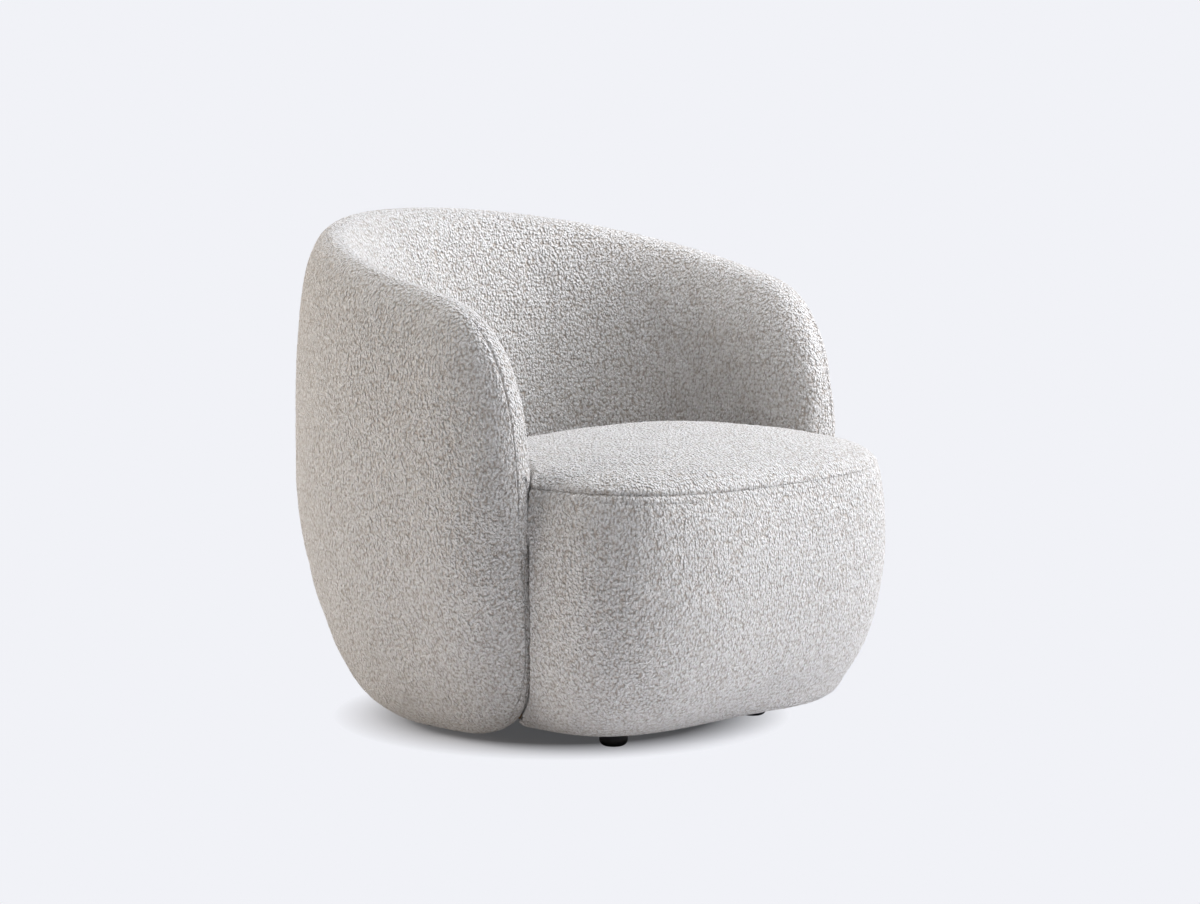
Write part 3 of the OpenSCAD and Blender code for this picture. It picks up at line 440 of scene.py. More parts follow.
def welded(points, quads, within_mm=0.02):
    """Quads that share one point number where points coincide, with the vanished ones left out."""
    key = np.round(points/within_mm).astype(np.int64)
    _, first, number = np.unique(key, axis=0, return_index=True, return_inverse=True)
    quads = first[number.ravel()][quads]
    corners = sum((quads[:, k] != quads[:, (k + 1) % 4]).astype(int) for k in range(4))
    crossed = (quads[:, 0] == quads[:, 2]) | (quads[:, 1] == quads[:, 3])
    return quads[(corners >= 3) & ~crossed]


def open_edges(quads):
    """The edges that only one face has, in the direction in which it has them."""
    edges = np.concatenate([quads[:, [k, (k + 1) % 4]] for k in range(4)])
    edges = edges[edges[:, 0] != edges[:, 1]]
    key = edges.min(1).astype(np.int64)*(edges.max() + 1) + edges.max(1)
    _, first, count = np.unique(key, return_index=True, return_counts=True)
    return edges[first[count == 1]]


def put(name, data):
    """Puts a mesh, a lamp or a lens into the scene under this name."""
    piece = bpy.data.objects.new(name, data)
    bpy.context.scene.collection.objects.link(piece)
    return piece


def plain_piece(name, points, faces, finish):
    """A piece with flat faces from points in millimetres."""
    mesh = bpy.data.meshes.new(name)
    mesh.from_pydata([tuple(p) for p in np.array(points, float)/1000], [], faces)
    mesh.materials.append(finish)
    return put(name, mesh)


def make_mesh(name, points, faces, finish):
    """A smooth mesh from points in millimetres and quads, in which a repeated corner gives a triangle."""
    used, number = np.unique(faces, return_inverse=True)
    faces = number.reshape(-1, 4)
    own = faces != np.roll(faces, 1, axis=1)
    sizes = own.sum(1).astype(np.int32)
    mesh = bpy.data.meshes.new(name)
    mesh.vertices.add(len(used))
    mesh.vertices.foreach_set("co", (points[used]/1000).astype(np.float32).ravel())
    mesh.loops.add(int(sizes.sum()))
    mesh.loops.foreach_set("vertex_index", faces[own].astype(np.int32))
    mesh.polygons.add(len(faces))
    mesh.polygons.foreach_set("loop_start", np.concatenate([[0], np.cumsum(sizes)[:-1]]).astype(np.int32))
    mesh.polygons.foreach_set("use_smooth", np.ones(len(faces), bool))
    mesh.update(calc_edges=True)
    mesh.validate()
    mesh.materials.append(finish)
    return put(name, mesh)


ALLOWANCE_MM = 5


def make_panel(name, over, under, quads, relief, finish):
    """A sewn panel of cloth: its points raised by a relief, its edges turned in as seam allowance.
    The points of its backing say which way is in. Millimetres."""
    quads = welded(over, quads)
    normals = point_normals(over, quads)
    if (normals*(over - under)).sum() < 0:
        normals = -normals
        quads = quads[:, ::-1]
    over = over + normals*relief[:, None]
    edges = open_edges(quads)
    n = len(over)
    turned_in = over - normals*ALLOWANCE_MM
    rim = np.stack([edges[:, 1], edges[:, 0], edges[:, 0] + n, edges[:, 1] + n], -1)
    return make_mesh(name, np.concatenate([over, turned_in]), np.concatenate([quads, rim]), finish)


def grain_noise(points, size_mm, seed):
    """Smooth noise from -1 to 1 with features of this size, at points in millimetres."""
    shift = Vector((seed*37.1, seed*11.7, seed*5.3))
    return np.array([noise.noise(Vector(p)/size_mm + shift) for p in points])


# Looped wool (boucle): off-white loops about 4 mm apart on a knitted backing. Its colour follows the
# height of the pile: the light dots on the tops of the loops are a painted highlight, and the browner pits
# between them are painted shade. The pale bloom at grazing angles is the shader's sheen. The loops are
# drawn about twice as high as real ones, so that they show at the size of the picture.
# The loop colour is a painted highlight on the loop tops, and the gap colour is painted shade in the pits.
WOOL_LOOP_PAINTED_HIGHLIGHT = "#f9f8f6"
WOOL_BODY = "#dfdbd7"
WOOL_GAP_PAINTED_SHADE = "#b2a79c"
LOOP_MM = 4.4
LOOP_STRETCH = 0.72
CURL_MM = 2.6
FIBRE_MM = 1.5
LOOP_HEIGHT_MM = 8.0
LOOP_STRAY_MM = 1.3
CURL_SHARE = 0.42
FIBRE_SHARE = 0.24

boucle, tree, surface, at = new_finish("looped_wool_offwhite", 0.93)
surface.inputs["Specular IOR Level"].default_value = 0.2
surface.inputs["Sheen Weight"].default_value = 0.5
surface.inputs["Sheen Roughness"].default_value = 0.45
surface.inputs["Sheen Tint"].default_value = linear("#fffdfb")
lengthened = add_node(
    tree, "ShaderNodeVectorMath", {"operation": "MULTIPLY"}, _0=at, _1=(1.0, 1.0, LOOP_STRETCH))
at = lengthened.outputs["Vector"]
stray = add_node(tree, "ShaderNodeTexNoise", Vector=at, Scale=per_mm(LOOP_MM*1.3), Detail=2.0)
stray_off = add_node(
    tree, "ShaderNodeVectorMath", {"operation": "SUBTRACT"}, _0=stray.outputs["Color"], _1=(0.5, 0.5, 0.5))
stray_by = add_node(
    tree, "ShaderNodeVectorMath", {"operation": "SCALE"}, _0=stray_off.outputs["Vector"],
    Scale=LOOP_STRAY_MM/1000)
curled = add_node(
    tree, "ShaderNodeVectorMath", {"operation": "ADD"}, _0=at, _1=stray_by.outputs["Vector"])
loops = add_node(
    tree, "ShaderNodeTexVoronoi", {"feature": "F1"}, Vector=curled.outputs["Vector"],
    Scale=per_mm(LOOP_MM), Randomness=0.8)
curls = add_node(
    tree, "ShaderNodeTexVoronoi", {"feature": "F1"}, Vector=curled.outputs["Vector"], Scale=per_mm(CURL_MM))
fibres = add_node(tree, "ShaderNodeTexNoise", Vector=at, Scale=per_mm(FIBRE_MM), Detail=3.0)
loop_up = add_node(
    tree, "ShaderNodeMapRange", {"interpolation_type": "SMOOTHSTEP"}, Value=loops.outputs["Distance"],
    From_Min=0.85, From_Max=0.0, To_Min=0.0, To_Max=1.0)
curl_up = add_node(
    tree, "ShaderNodeMapRange", Value=curls.outputs["Distance"], From_Min=0.85, From_Max=0.2,
    To_Min=0.0, To_Max=1.0)
with_curls = add_node(
    tree, "ShaderNodeMix", {"data_type": "FLOAT"}, Factor=CURL_SHARE, A=loop_up.outputs["Result"],
    B=curl_up.outputs["Result"])
pile_and_painted_light = add_node(
    tree, "ShaderNodeMix", {"data_type": "FLOAT"}, Factor=FIBRE_SHARE, A=with_curls.outputs["Result"],
    B=fibres.outputs["Fac"])
# The ramp paints a highlight on the tops of the loops and shade in the pits, by the height of the pile.
lay_on(
    tree, surface, pile_and_painted_light.outputs["Result"], ((0.18, WOOL_GAP_PAINTED_SHADE), (0.46, WOOL_BODY), (0.86, WOOL_LOOP_PAINTED_HIGHLIGHT)),
    pile_and_painted_light.outputs["Result"], LOOP_HEIGHT_MM)

# Swell of a stuffed cover: a coarse copy of each panel, cut about one per cent too large and held at its
# seams, is blown up as cloth for twenty frames. The detail that this adds to the plain shape is kept as
# relief, up to a cap.
SWELL_CELLS = 5
SWELL_FRAMES = 20
SWELL_PRESSURE = 4.0
SWELL_EXTRA_SHARE = 0.012
SWELL_BROAD_SHARE = 0.85
SWELL_BROAD_CELLS = 5
SWELL_MAX_MM = 1.6
SWELL_MEET_MM = 0.5
CLOTH_QUALITY = 5
CLOTH_KG_PER_POINT = 0.4
FEWEST_ROWS = 12


def broad(field, reach, closed):
    """A field with its detail blurred away over some cells each way."""
    for axis in (0, 1):
        padding = [(reach, reach) if k == axis else (0, 0) for k in (0, 1)]
        wide = np.pad(field, padding, mode="wrap" if closed and axis else "edge")
        total = np.cumsum(np.insert(wide, 0, 0, axis=axis), axis=axis)
        low, high = (slice(None, -2*reach - 1), slice(2*reach + 1, None))
        if axis == 0:
            field = (total[high] - total[low])/(2*reach + 1)
        else:
            field = (total[:, high] - total[:, low])/(2*reach + 1)
    return field


def cloth_swell(over, under, shape, closed=False):
    """Height in millimetres that a panel's cloth gains under pressure, per point of its grid."""
    n, m = shape
    rows = np.unique(np.linspace(0, n - 1, max(n//SWELL_CELLS, FEWEST_ROWS)).round().astype(int))
    columns = np.unique(np.linspace(0, m - 1, max(m//SWELL_CELLS, FEWEST_ROWS)).round().astype(int))
    coarse = over.reshape(n, m, 3)[rows][:, columns].reshape(-1, 3)
    key = np.round(coarse/SWELL_MEET_MM).astype(np.int64)
    _, first, number = np.unique(key, axis=0, return_index=True, return_inverse=True)
    own = first[number.ravel()]
    quads = welded(coarse, grid_cells(len(rows), len(columns), closed=closed), SWELL_MEET_MM)
    normals = point_normals(coarse, quads)
    backing = under.reshape(n, m, 3)[rows][:, columns].reshape(-1, 3)
    if (normals*(coarse - backing)).sum() < 0:
        normals = -normals
        quads = quads[:, ::-1]
    faces = [tuple(dict.fromkeys(int(k) for k in quad)) for quad in quads]
    form = plain_piece("swell", coarse, faces, boucle)
    mesh = form.data
    pins = form.vertex_groups.new(name="sewn")
    pins.add([int(k) for k in np.unique(open_edges(quads))], 1.0, "REPLACE")
    cloth = form.modifiers.new("swell", "CLOTH")
    cloth.settings.quality = CLOTH_QUALITY
    cloth.settings.mass = CLOTH_KG_PER_POINT
    cloth.settings.shrink_min = -SWELL_EXTRA_SHARE
    cloth.settings.use_pressure = True
    cloth.settings.uniform_pressure_force = SWELL_PRESSURE
    cloth.settings.vertex_group_mass = pins.name
    cloth.settings.effector_weights.gravity = 0
    cloth.collision_settings.use_collision = False
    cloth.point_cache.frame_start = 1
    cloth.point_cache.frame_end = SWELL_FRAMES
    scene = bpy.context.scene
    for frame_number in range(1, SWELL_FRAMES + 1):
        scene.frame_set(frame_number)
    blown = form.evaluated_get(bpy.context.evaluated_depsgraph_get()).data
    after = np.empty(len(coarse)*3, np.float32)
    blown.vertices.foreach_get("co", after)
    scene.frame_set(1)
    bpy.data.objects.remove(form)
    bpy.data.meshes.remove(mesh)
    moved = ((after.reshape(-1, 3)*1000 - coarse)*normals).sum(1)[own].reshape(len(rows), len(columns))
    moved = moved - SWELL_BROAD_SHARE*broad(moved, SWELL_BROAD_CELLS, closed)
    moved = broad(np.clip(moved, -SWELL_MAX_MM, SWELL_MAX_MM), 1, closed)
    across = np.array([np.interp(np.arange(m), columns, row) for row in moved])
    return np.array([np.interp(np.arange(n), rows, column) for column in across.T]).T.ravel()


# Relief that the sewing and the padding leave in a panel: pulled in at the seam, a shallow line of
# top stitching beside it, and slow unevenness from the foam and the loops.
SEAM_SINK_MM = 1.8
SEAM_WIDE_MM = 3.4
SEAM_GAP_MM = 1.6
STITCH_MM = 13
STITCH_LINE_MM = 9.0
STITCH_SINK_MM = 0.6
SEAM_LOOSE_Z = 620
SEAM_LOOSE_RUN_MM = 60
SEAM_LOOSE_SHARE = 0.2
SEAM_SWELL_MM = 8
GAP_WIDE_MM = 1.6
STITCH_WIDE_MM = 1.8
LUMP_FADE_MM = 40
LUMP_MM = 46
LUMP_HIGH_MM = 1.1
TUFT_MM = 7
TUFT_HIGH_MM = 0.8


def sewn_relief(points, seam_mm, along_mm, stitched, seed, tight=1.0):
    """Height in millimetres that sewing and padding add at each point, along_mm along the seam.
    tight is how hard the seam pulls the padding in."""
    pull = 0.5 + 0.5*np.cos(2*math.pi*along_mm/STITCH_MM)
    height = -tight*SEAM_SINK_MM*np.exp(-(seam_mm/SEAM_WIDE_MM)**2)
    height -= tight*SEAM_GAP_MM*(0.4 + 0.6*pull)*np.exp(-(seam_mm/GAP_WIDE_MM)**2)
    if stitched:
        line = np.exp(-((seam_mm - STITCH_LINE_MM)/STITCH_WIDE_MM)**2)
        height -= tight*STITCH_SINK_MM*(0.5 + 0.5*pull)*line
    height += LUMP_HIGH_MM*grain_noise(points, LUMP_MM, seed)*ease(seam_mm/LUMP_FADE_MM)
    height += TUFT_HIGH_MM*grain_noise(points, TUFT_MM, seed + 1)
    return height


def wall_panel(name, angles, seam_mm, keep, stitched, seed):
    """A panel of the tub's cover. Its seam pulls hard on the noses and lies loose along the rim."""
    d = np.broadcast_to(stations[:, None], angles.shape)
    over = wall_point(d, angles).reshape(-1, 3)
    under = wall_point(d, angles, COVER_T).reshape(-1, 3)
    quads = grid_cells(*angles.shape, keep)
    seam = wall_point(stations, seam_angle(stations))
    along = np.concatenate([[0], np.cumsum(np.linalg.norm(np.diff(seam, axis=0), axis=1))])
    along_mm = np.repeat(along, angles.shape[1])
    pulled = ease((SEAM_LOOSE_Z - seam[:, 2])/SEAM_LOOSE_RUN_MM)
    tight = np.repeat(SEAM_LOOSE_SHARE + (1 - SEAM_LOOSE_SHARE)*pulled, angles.shape[1])
    relief = sewn_relief(over, seam_mm.ravel(), along_mm, stitched, seed, tight)
    relief += cloth_swell(over, under, angles.shape)*ease(seam_mm.ravel()/SEAM_SWELL_MM)
    return make_panel(name, over, under, quads, relief, boucle)


UNDER_ARM_MM = 150
TUB_CLOTH_Z = 69
far_out = np.maximum(np.abs(stations[:-1]), np.abs(stations[1:]))
row_index = np.arange(inner_angles.shape[1] - 1)
under_arm = inner_angles[:-1, 1:] > angle_inside(stations, TUB_CLOTH_Z)[:-1, None]
keep_inner = (far_out[:, None] > FRAME_RUN) | (row_index[None, :] < INNER_ROWS)
keep_inner |= under_arm & (far_out[:, None] > FRAME_RUN - UNDER_ARM_MM)
outer_panel = wall_panel("tub_outer_panel", outer_angles, outer_seam_mm, None, False, 1)
inner_panel = wall_panel("tub_inner_panel", inner_angles, inner_seam_mm, keep_inner, True, 2)
for panel, stands_for in (
        (outer_panel, ("outer_cover", "outer_foam", "bottom_foam")),
        (inner_panel, ("inner_cover", "inner_foam", "rim_foam", "nose_foam_left", "nose_foam_right"))):
    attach(panel, "root")
    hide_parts(*stands_for)

# Seat: a bulging body of foam over a box, upholstered in two panels. Its front is a rounded D that
# swells out before the arms; behind them it follows the inside of the tub.
SEAT_W = 650
SEAT_FRONT_D = 258
SEAT_MID_Z = 261
SEAT_LOW_Z = 27
SEAT_CROWN = 34
SEAT_FALL = 56
SEAT_FALL_RUN = 400
SEAT_LOW_IN_X = 92
SEAT_LOW_IN_Y = 123
SEAT_TOP_IN = 22
SEAT_SEAM_Z = 370
SEAM_RISE = 8
SEAT_POWER = 3.5
SEAT_GAP = 3
SEAT_ROLL = 14
SEAT_CY = -411 + SEAT_FRONT_D
SEAT_CENTRE = np.array([0.0, -59.0])
SEAT_REAR_D = FRAME_RUN + 10
SEAT_FOOT_Z = 330
INSIDE_STEPS = 190
FRONT_STEPS = 165
CORNER_RUN = 16
EDGE_SOFT_MM = 24
SEAM_GAP_HALF_MM = 0.3


def round_share(q):
    """Drop of a quarter circle, from 0 to 1."""
    return 1 - np.sqrt(np.maximum(1 - q*q, 0))


def seat_half(z, size, low_in):
    """Half of the seat's width or depth at height z."""
    below = round_share(np.clip((SEAT_MID_Z - z)/(SEAT_MID_Z - SEAT_LOW_Z), 0, 1))
    above = round_share(np.clip((z - SEAT_MID_Z)/(SEAT_EDGE_Z - SEAT_MID_Z), 0, 0.995))
    return size - low_in*below - SEAT_TOP_IN*above


def seat_seam_z(x):
    """Height of the seat's seam, which rises a little towards the arms."""
    return SEAT_SEAM_Z + SEAM_RISE*(np.abs(x)/(SEAT_W/2))**2


def nose_back(z):
    """How far behind its tip a nose ends at height z."""
    if z > NOSE_Z:
        q, run = (z - NOSE_Z)/(RIM_ARM_Z - NOSE_Z), NOSE_TOP_RUN
    else:
        q, run = (NOSE_Z - z)/(NOSE_Z - TUB_LIFT), NOSE_LOW_RUN
    return run*(1 - (1 - min(q, 0.999)**NOSE_POWER)**(1/NOSE_POWER))


def half_outline(z, first_d, inset):
    """Right half of the seat's outline at height z, from the wall's inside to the middle of the front."""
    half_w = float(seat_half(z, SEAT_W/2, SEAT_LOW_IN_X)) - inset
    half_d = float(seat_half(z, SEAT_FRONT_D, SEAT_LOW_IN_Y)) - inset
    last_d = max(HALF_RUN - nose_back(z), SEAT_REAR_D + CORNER_RUN)
    d = np.linspace(first_d, last_d, INSIDE_STEPS)
    inside = place(d, inner_off(d, z) - SEAT_GAP - inset, z)
    d = last_d + SEAT_GAP + 0.85*inset
    corner = place(d, float(tuck_in(last_d, z)) - inset, z)[None, :]
    y0 = float(path_y(last_d)) - 2*SEAT_GAP - inset
    share = np.clip((SEAT_CY - y0)/half_d, -1, 1)
    a0 = math.asin(math.copysign(abs(share)**(SEAT_POWER/2), share))
    t = np.linspace(0, 1, 3001)
    a = a0 + (math.pi/2 - a0)*(t**2.6 if a0 > -0.05 else 0.5 - 0.5*np.cos(math.pi*t))
    x = half_w*np.abs(np.cos(a))**(2/SEAT_POWER)
    y = SEAT_CY - half_d*np.sign(np.sin(a))*np.abs(np.sin(a))**(2/SEAT_POWER)
    run = np.concatenate([[0], np.cumsum(np.hypot(np.diff(x), np.diff(y)))])
    want = np.linspace(0, run[-1], FRONT_STEPS)
    front = np.stack([np.interp(want, run, x), np.interp(want, run, y), np.full(FRONT_STEPS, z)], -1)
    front[-1, 0] = 0
    points = np.concatenate([inside, corner, front])
    points[:, 0] = np.minimum(points[:, 0], half_w)
    return points


LEVEL_COUNT = 140
LEVELS_OVER_EDGE = 40
LEVELS_Z = np.linspace(SEAT_LOW_Z, SEAT_EDGE_Z + LEVELS_OVER_EDGE, LEVEL_COUNT)


class SeatOutline:
    """The seat's half outline at any height, by linear steps between levels."""

    def __init__(self, first_d, inset):
        self.levels = np.array([half_outline(z, first_d, inset) for z in LEVELS_Z])

    def at(self, z):
        """Points for heights z, one per place on the outline."""
        f = np.clip((z - LEVELS_Z[0])/(LEVELS_Z[1] - LEVELS_Z[0]), 0, LEVEL_COUNT - 1.001)
        k = f.astype(int)
        i = np.arange(len(z))
        low, high = self.levels[k, i], self.levels[k + 1, i]
        points = low + (high - low)*(f - k)[:, None]
        points[:, 2] = z
        return points


def mirrored_ring(half):
    """The closed ring of a half outline that starts and ends on the middle plane."""
    left = half*np.array([-1, 1, 1])
    return np.concatenate([left, half[-2:0:-1]])


def mirrored_row(half):
    """The open row of a half outline that ends on the middle plane."""
    left = half*np.array([-1, 1, 1])
    return np.concatenate([left, half[-2::-1]])


def seat_top_z(x, y):
    """Height of the crowned seat, which falls towards the back."""
    half_w = float(seat_half(SEAT_EDGE_Z, SEAT_W/2, SEAT_LOW_IN_X))
    half_d = float(seat_half(SEAT_EDGE_Z, SEAT_FRONT_D, SEAT_LOW_IN_Y))
    gauge = (np.abs(x)/half_w)**SEAT_POWER + (np.maximum(SEAT_CY - y, 0)/half_d)**SEAT_POWER
    gauge = np.minimum(gauge**(1/SEAT_POWER), 1)
    return SEAT_EDGE_Z + SEAT_CROWN*(1 - gauge**2) - SEAT_FALL*ease((y - SEAT_CY)/SEAT_FALL_RUN)


TOP_FOOT_SHARES = (0, 0.04, 0.1, 0.18, 0.28, 0.42, 0.6, 0.8)
TOP_BEND_ROWS = 15
TOP_CROWN_ROWS = 84


def seat_top_rings(inset):
    """Rings of the top panel, from its seam up over the edge to the middle of the crown."""
    outline = SeatOutline(0.0, inset)
    count = outline.levels.shape[1]
    edge = outline.at(np.full(count, float(SEAT_EDGE_Z)))
    behind = np.arange(count) < INSIDE_STEPS
    inside_d = np.linspace(0.0, 1.0, INSIDE_STEPS)*(HALF_RUN - nose_back(SEAT_EDGE_Z))
    to_nose = np.ones(count)
    nose_run = HALF_RUN - nose_back(SEAT_EDGE_Z) - SEAT_REAR_D
    to_nose[:INSIDE_STEPS] = ease((inside_d - SEAT_REAR_D)/nose_run)
    edge_z = np.where(behind, seat_top_z(edge[:, 0], edge[:, 1]) - SEAT_ROLL*(1 - to_nose), SEAT_EDGE_Z)
    edge_z = edge_z - inset
    seam_z = seat_seam_z(edge[:, 0]) + SEAM_GAP_HALF_MM
    foot_z = SEAT_FOOT_Z + (seam_z - SEAT_FOOT_Z)*to_nose
    edge = outline.at(edge_z)
    centre = np.array([*SEAT_CENTRE, 0])
    reach = np.linalg.norm((edge - centre)[:, :2], axis=1)
    below = outline.at(np.minimum(edge_z - EDGE_SOFT_MM*0.8, edge_z*0.4 + foot_z*0.6 + 8))
    inner_k = 1 - EDGE_SOFT_MM*1.3/reach
    inner = centre + (edge - centre)*inner_k[:, None]
    inner[:, 2] = seat_top_z(inner[:, 0], inner[:, 1]) - inset
    rows = []
    for share in TOP_FOOT_SHARES:
        rows.append(outline.at(foot_z + (below[:, 2] - foot_z)*share))
    for t in np.linspace(0, 1, TOP_BEND_ROWS):
        rows.append(below*(1 - t)**2 + 2*t*(1 - t)*edge + inner*t*t)
    for share in np.linspace(1, 0, TOP_CROWN_ROWS)[1:]:
        ring = centre + (inner - centre)*share
        ring[:, 2] = seat_top_z(ring[:, 0], ring[:, 1]) - inset
        rows.append(ring)
    return np.array([mirrored_ring(row) for row in rows])


def run_down(rings):
    """Distance of every point from the first ring, along its column."""
    steps = np.linalg.norm(np.diff(rings, axis=0), axis=2)
    return np.concatenate([np.zeros((1, rings.shape[1])), np.cumsum(steps, axis=0)])


TIGHT_TO_X = -110
TIGHT_FADE_RUN = 210
LOOSE_SHARE = 0.92


def seat_seam_tight(points):
    """How hard the seat's seam pulls: fully on the left, almost not at all on the right."""
    return 1 - LOOSE_SHARE*ease((points[:, 0] - TIGHT_TO_X)/TIGHT_FADE_RUN)


def run_along(rings):
    """Distance of every point's column from the first one, along the first ring."""
    steps = np.linalg.norm(np.diff(rings[0], axis=0), axis=1)
    return np.tile(np.concatenate([[0], np.cumsum(steps)]), len(rings))


PUCKER_MM = 17
PUCKER_HIGH_MM = 1.3
PUCKER_REACH_MM = 26
PUCKER_FROM_X = 120
PUCKER_RUN = 170
PUCKER_LEAST = 0.25


def seam_puckers(points, seam_mm, seed):
    """Short folds that the seam gathers across itself, strongest at the arms."""
    near_arm = ease((np.abs(points[:, 0]) - PUCKER_FROM_X)/PUCKER_RUN)
    along = points*np.array([1, 1, 0.25])
    folds = grain_noise(along, PUCKER_MM, seed)
    reach = seam_mm/PUCKER_REACH_MM
    strength = PUCKER_LEAST + (1 - PUCKER_LEAST)*near_arm
    return PUCKER_HIGH_MM*strength*folds*np.exp(-reach**2)*ease(seam_mm/4)


top_over = seat_top_rings(0.0)
top_under = seat_top_rings(float(COVER_T))
top_quads = grid_cells(*top_over.shape[:2], closed=True)
seam_mm = run_down(top_over).ravel()
points = top_over.reshape(-1, 3)
relief = sewn_relief(points, seam_mm, run_along(top_over), False, 3, seat_seam_tight(points))
relief += seam_puckers(points, seam_mm, 5)
swell = cloth_swell(points, top_under.reshape(-1, 3), top_over.shape[:2], True)
relief += swell*ease(seam_mm/SEAM_SWELL_MM)
seat_top_panel = make_panel(
    "seat_top_panel", points, top_under.reshape(-1, 3), top_quads, relief, boucle)

# Border of the seat: one panel goes round the front and both sides, from the seam down and under the
# edge, where it is stapled to the base plate. Top stitching runs 12 mm below the seam and sinks in here
# and there, and the padding sags a little at the low right edge.
BORDER_STITCH_MM = 12
BORDER_STITCH_SINK_MM = 1.7
BORDER_STITCH_WIDE_MM = 1.5
BORDER_BREAK_MM = 22
BORDER_ROWS = 118
BORDER_NEAR_MM = (0, 0.9, 1.9, 3.1, 4.6, 6.4, 8.4, 10.2, 11.2, 12.2, 13.4, 15.2, 18)
RISE_FROM_Z = 200
SAG_MM = 9
SAG_UP = 16
SAG_FROM_X = -60
SAG_RUN = 160
EDGE_FADE_MM = 12
FLANGE_W = 8
FLANGE_TO_Y = SEAT_CY + 60


def border_rows(inset):
    """Rows of the border, from its seam down and under the edge."""
    outline = SeatOutline(SEAT_REAR_D, inset)
    count = outline.levels.shape[1]
    rise = seat_seam_z(outline.at(np.full(count, float(SEAT_SEAM_Z)))[:, 0]) - SEAT_SEAM_Z
    z = np.linspace(SEAT_SEAM_Z - SEAM_GAP_HALF_MM, SEAT_LOW_Z + inset, 3001)
    drop = seat_half(z, SEAT_W/2, SEAT_LOW_IN_X)
    run = np.concatenate([[0], np.cumsum(np.hypot(np.diff(z), np.diff(drop)*1.2))])
    far = np.linspace(BORDER_NEAR_MM[-1], run[-1], BORDER_ROWS - len(BORDER_NEAR_MM) + 1)
    levels = np.interp(np.concatenate([BORDER_NEAR_MM, far[1:]]), run, z)
    risen = np.maximum(0, (levels - RISE_FROM_Z)/(SEAT_SEAM_Z - RISE_FROM_Z))
    rows = [outline.at(level + rise*share) for level, share in zip(levels, risen)]
    last = rows[-1]
    inwards = np.array([0.0, FLANGE_TO_Y, 0.0]) - last
    inwards[:, 2] = 0
    inwards /= np.linalg.norm(inwards, axis=1)[:, None]
    for step in (0.35, 0.7, 1.0):
        rows.append(last + inwards*FLANGE_W*step)
    return np.array([mirrored_row(row) for row in rows])


border_over = border_rows(0.0)
border_under = border_rows(float(COVER_T))
border_quads = grid_cells(*border_over.shape[:2])
seam_mm = run_down(border_over).ravel()
points = border_over.reshape(-1, 3)
relief = sewn_relief(points, seam_mm, run_along(border_over), False, 6, seat_seam_tight(points))
relief += seam_puckers(points, seam_mm, 8)*0.5
swell = cloth_swell(points, border_under.reshape(-1, 3), border_over.shape[:2])
relief += swell*ease(seam_mm/SEAM_SWELL_MM)
broken = np.clip(0.6 + 1.6*grain_noise(points*np.array([1, 1, 0]), BORDER_BREAK_MM, 9), 0, 1)
stitched = BORDER_STITCH_SINK_MM*broken*seat_seam_tight(points)
relief -= stitched*np.exp(-((seam_mm - BORDER_STITCH_MM)/BORDER_STITCH_WIDE_MM)**2)
up = points[:, 2] - SEAT_LOW_Z
to_right = ease((points[:, 0] - SAG_FROM_X)/SAG_RUN)
relief += SAG_MM*np.exp(-((up - SAG_UP)/SAG_UP)**2)*to_right
relief *= ease(up/EDGE_FADE_MM)
seat_border_panel = make_panel(
    "seat_border_panel", points, border_under.reshape(-1, 3), border_quads, relief, boucle)

for panel, stands_for in (
        (seat_top_panel, ("seat_top_cover", "seat_wadding", "seat_cushion_foam")),
        (seat_border_panel, ("seat_border_cover", "seat_front_foam"))):
    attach(panel, "root")
    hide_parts(*stands_for)

# Webbing of the seat: six elastic straps, woven of black rubber-cored yarn, run from side to side over
# the deck's opening and are stapled to its edges. The infill pad and the cushion rest on them, so each
# sags a little. The yarn's dark and paler bands are drawn about twice as broad as real ones.
STRAP_W = 55
STRAP_T = 2
STRAP_HALF_RUN = 177
STRAP_Z = 282
STRAP_SAG_MM = 0.5
STRAP_FIRST_Y = -236.5
STRAP_LAST_Y = 98.5
STRAP_COUNT = 6
STRAP_STEPS = 48
STRAP_RING_POINTS = 32
STRAP_EDGE_POWER = 0.3
YARN_DARK = "#131314"
YARN_PALE = "#3a3a3c"
YARN_BAND_MM = 4.74
YARN_DEEP_MM = 0.25

webbing, tree, surface, at = new_finish("black_elastic_webbing", 0.8)
yarns = add_node(
    tree, "ShaderNodeTexWave", {"bands_direction": "X"}, Vector=at, Scale=bands_every(YARN_BAND_MM),
    Distortion=0.6)
lay_on(
    tree, surface, yarns.outputs["Fac"], ((0.2, YARN_DARK), (0.9, YARN_PALE)),
    yarns.outputs["Fac"], YARN_DEEP_MM)


def strap_rings(y):
    """The rings of one strap along X, with soft edges and a sag in its middle. Millimetres."""
    turns = np.linspace(0, 2*math.pi, STRAP_RING_POINTS + 1)[:-1]
    wide = np.cos(turns)*STRAP_W/2
    high = np.sign(np.sin(turns))*np.abs(np.sin(turns))**STRAP_EDGE_POWER*STRAP_T/2
    rings = []
    for t in np.linspace(0, 1, STRAP_STEPS):
        x = np.full(STRAP_RING_POINTS, STRAP_HALF_RUN*(2*t - 1))
        z = STRAP_Z + STRAP_T/2 - STRAP_SAG_MM*math.sin(math.pi*t)
        rings.append(np.stack([x, y + wide, z + high], -1))
    return np.array(rings)


points = []
faces = []
for y in np.linspace(STRAP_FIRST_Y, STRAP_LAST_Y, STRAP_COUNT):
    rings = strap_rings(y)
    start = len(points)
    points += list(rings.reshape(-1, 3))
    faces += [tuple(int(n) + start for n in quad) for quad in grid_cells(*rings.shape[:2], closed=True)]
    faces.append(tuple(start + n for n in range(STRAP_RING_POINTS)))
    faces.append(tuple(len(points) - 1 - n for n in range(STRAP_RING_POINTS)))
seat_straps = plain_piece("seat_straps", points, faces, webbing)
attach(seat_straps, "root")
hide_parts("seat_webbing")

